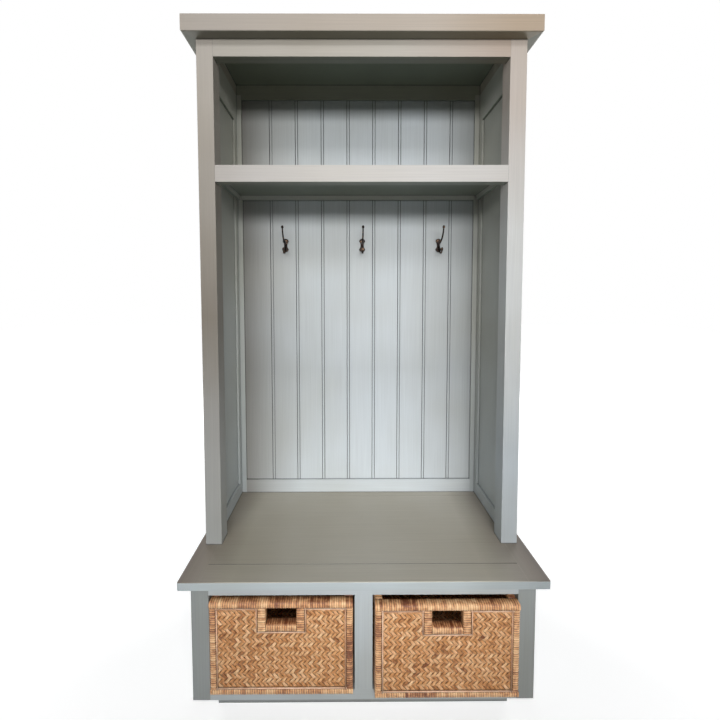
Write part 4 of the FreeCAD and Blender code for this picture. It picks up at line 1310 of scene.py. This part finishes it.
    def reed_run(
        self, bm: BMesh, place: Matrix, centre: float, first: Point, last: Point
    ) -> None:
        """One straight run of the cane strip on a face, on the weave's side of the border.

        Args:
            bm: The mesh it goes into.
            place: The face's place.
            centre: The middle of the face.
            first: Where it starts on the face.
            last: Where it ends.
        """
        half = self.reed / 2
        run = Vector((last[0] - first[0], 0, last[1] - first[1]))
        tone = tone_layer(bm)
        made = len(bm.faces)
        verts = bmesh.ops.create_cone(
            bm, cap_ends=True, segments=8, radius1=half, radius2=half, depth=run.length + self.reed
        )["verts"]
        turn = Vector((0, 0, 1)).rotation_difference(run.normalized()).to_matrix().to_4x4()
        spot = Vector(((first[0] + last[0]) / 2, half + self.reed_sunk, (first[1] + last[1]) / 2))
        away = half + self.reed_gap
        if run.x == 0:
            beside_hole = abs(first[0] - centre) < self.hole_wide
            spot.x += away if (first[0] < centre) != beside_hole else -away
        else:
            spot.z += away if first[1] < self.deck / 2 else -away
        bmesh.ops.transform(bm, verts=verts, matrix=place @ Matrix.Translation(spot) @ turn)
        bm.faces.ensure_lookup_table()
        level = self.chance.uniform(*self.reed_tone)
        for face in bm.faces[made:]:
            face[tone] = level

    def build(self) -> None:
        """Build the whole basket."""
        self.weave()
        self.bind_frame()
        self.bind_rim()
        self.lay_reeds()


@dataclass(frozen=True)
class Lamp:
    """A soft box that the camera doesn't see.

    Attributes:
        name: The lamp's name.
        spot: Where it hangs.
        aim: The point that it faces.
        size: Its width and height.
        power: Its power in watts.
        beam: Degrees that its beam opens to.
    """

    name: str
    spot: Spot
    aim: Spot
    size: Point
    power: float
    beam: float = 180.0

    def hang(self) -> None:
        """Hang it in the studio."""
        data = bpy.data.lights.new(self.name, "AREA")
        data.shape = "RECTANGLE"
        data.size, data.size_y = self.size
        data.energy = self.power
        data.spread = math.radians(self.beam)
        box = show(self.name, data)
        turn = (Vector(self.aim) - Vector(self.spot)).to_track_quat("-Z", "Y")
        box.matrix_world = Matrix.Translation(self.spot) @ turn.to_matrix().to_4x4()
        box.visible_camera = False


LAMPS = (
    Lamp("key", (0.0, -3.6, 2.25), (0.0, 0.0, 1.3), (3.8, 0.7), 84.0),
    Lamp("low", (0.3, -2.1, 1.0), (0.0, 0.2, 0.68), (0.7, 0.4), 2.1, 52.0),
    Lamp("top", (-0.3, -2.8, 3.7), (0.0, 0.0, 1.0), (2.4, 0.7), 31.0),
    Lamp("back_left", (-3.0, 2.4, 1.0), (0.0, 0.1, 1.1), (1.2, 1.8), 66.0),
    Lamp("back_right", (3.0, 2.4, 1.0), (0.0, 0.1, 1.1), (1.2, 1.8), 66.0),
)


@dataclass
class Studio:
    """The pale floor, the soft lamps, the white surroundings and the camera.

    Attributes:
        floor_half: Half the floor's width.
        glow_reach: Distances from the object between which the floor's glow grows.
        glow_level: The glow at these two.
        air_level: The light of the surroundings on the object, and to the eye.
        focal: The lens in millimetres, for a picture 36 mm wide.
        shift: How far the picture is shifted, as shares of its width.
        eye: Where the camera is.
        right: The camera's right.
        above: The camera's up.
        behind: The way that the camera's back faces.
    """

    floor_half: float = 12.0
    glow_reach: Point = (0.6, 3.2)
    glow_level: Point = (0.45, 0.98)
    air_level: Point = (0.05, 1.0)
    focal: float = 16.33
    shift: Point = (0.0192, -0.0710)
    eye: Spot = (-0.0535, -1.1212, 1.2505)
    right: Spot = (0.99999197, -0.00375986, -0.0013867)
    above: Spot = (0.00154911, 0.04354314, 0.99905035)
    behind: Spot = (-0.00369591, -0.99904447, 0.04354861)

    def floor(self) -> None:
        """Lay the floor, white to the eye and mid grey to the light that it sends back."""
        bm = bmesh.new()
        bmesh.ops.create_grid(bm, x_segments=1, y_segments=1, size=self.floor_half)
        ground = show("floor", settle(bm, "floor"))
        surface, tree, spot = new_surface("pale_floor")
        seen = self.seen(tree)
        matt = put(tree, "BsdfDiffuse", {}, {"Color": blend(tree, seen, "#6A6A6A", "#F4F4F4")})
        # The floor's own glow makes up for the lamps' falling off with distance.
        far = put(tree, "VectorMath", {}, {0: spot}, operation="LENGTH").outputs["Value"]
        glow = spread(tree, far, self.glow_reach, self.glow_level)
        lit = put(tree, "Emission", {}, {"Strength": reckon(tree, "MULTIPLY", seen, glow)})
        whole = put(tree, "AddShader", {}, {0: matt.outputs[0], 1: lit.outputs[0]})
        put(tree, "OutputMaterial", {}, {"Surface": whole.outputs[0]})
        ground.data.materials.append(surface)

    @staticmethod
    def seen(tree: NodeTree) -> NodeSocket:
        """One for what the camera sees, straight or in a shiny or clear surface."""
        path = put(tree, "LightPath").outputs
        some = reckon(tree, "MAXIMUM", path["Is Camera Ray"], path["Is Glossy Ray"])
        return reckon(tree, "MAXIMUM", some, path["Is Transmission Ray"])

    def surroundings(self) -> None:
        """White to the eye, and a dim even light on the object."""
        world = bpy.data.worlds.new("surroundings")
        world.use_nodes = True
        tree = world.node_tree
        tree.nodes.clear()
        seen = self.seen(tree)
        colour = blend(tree, seen, "#DDE3EA", "#FFFFFF")
        level = spread(tree, seen, given=self.air_level)
        light = put(tree, "Background", {}, {"Color": colour, "Strength": level})
        put(tree, "OutputWorld", {}, {"Surface": light.outputs[0]})
        bpy.context.scene.world = world

    def camera(self) -> None:
        """Set the camera where the photograph was taken from."""
        data = bpy.data.cameras.new("photo_view")
        data.sensor_fit = "HORIZONTAL"
        data.sensor_width = 36.0
        data.lens = self.focal
        data.shift_x, data.shift_y = self.shift
        data.clip_start, data.clip_end = 0.05, 60.0
        eye = show("photo_view", data)
        axes = Matrix((self.right, self.above, self.behind)).transposed()
        eye.matrix_world = Matrix.Translation(self.eye) @ axes.to_4x4()
        bpy.context.scene.camera = eye

    def build(self) -> None:
        """Set up the studio."""
        bpy.context.scene.view_settings.view_transform = "Standard"
        self.floor()
        self.surroundings()
        for lamp in LAMPS:
            lamp.hang()
        self.camera()


def main() -> None:
    """Build the scene, from the studio to the baskets."""
    logging.basicConfig(level=logging.INFO, format="%(name)s: %(message)s")
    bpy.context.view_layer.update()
    Studio().build()
    Bench().dress()
    Hutch().dress()
    for place in ("left", "middle", "right"):
        CoatHook(place).build()
    Screws().build()
    loom = Loom()
    for side in Side:
        Basket(side, loom).build()


if __name__ == "__main__":
    main()
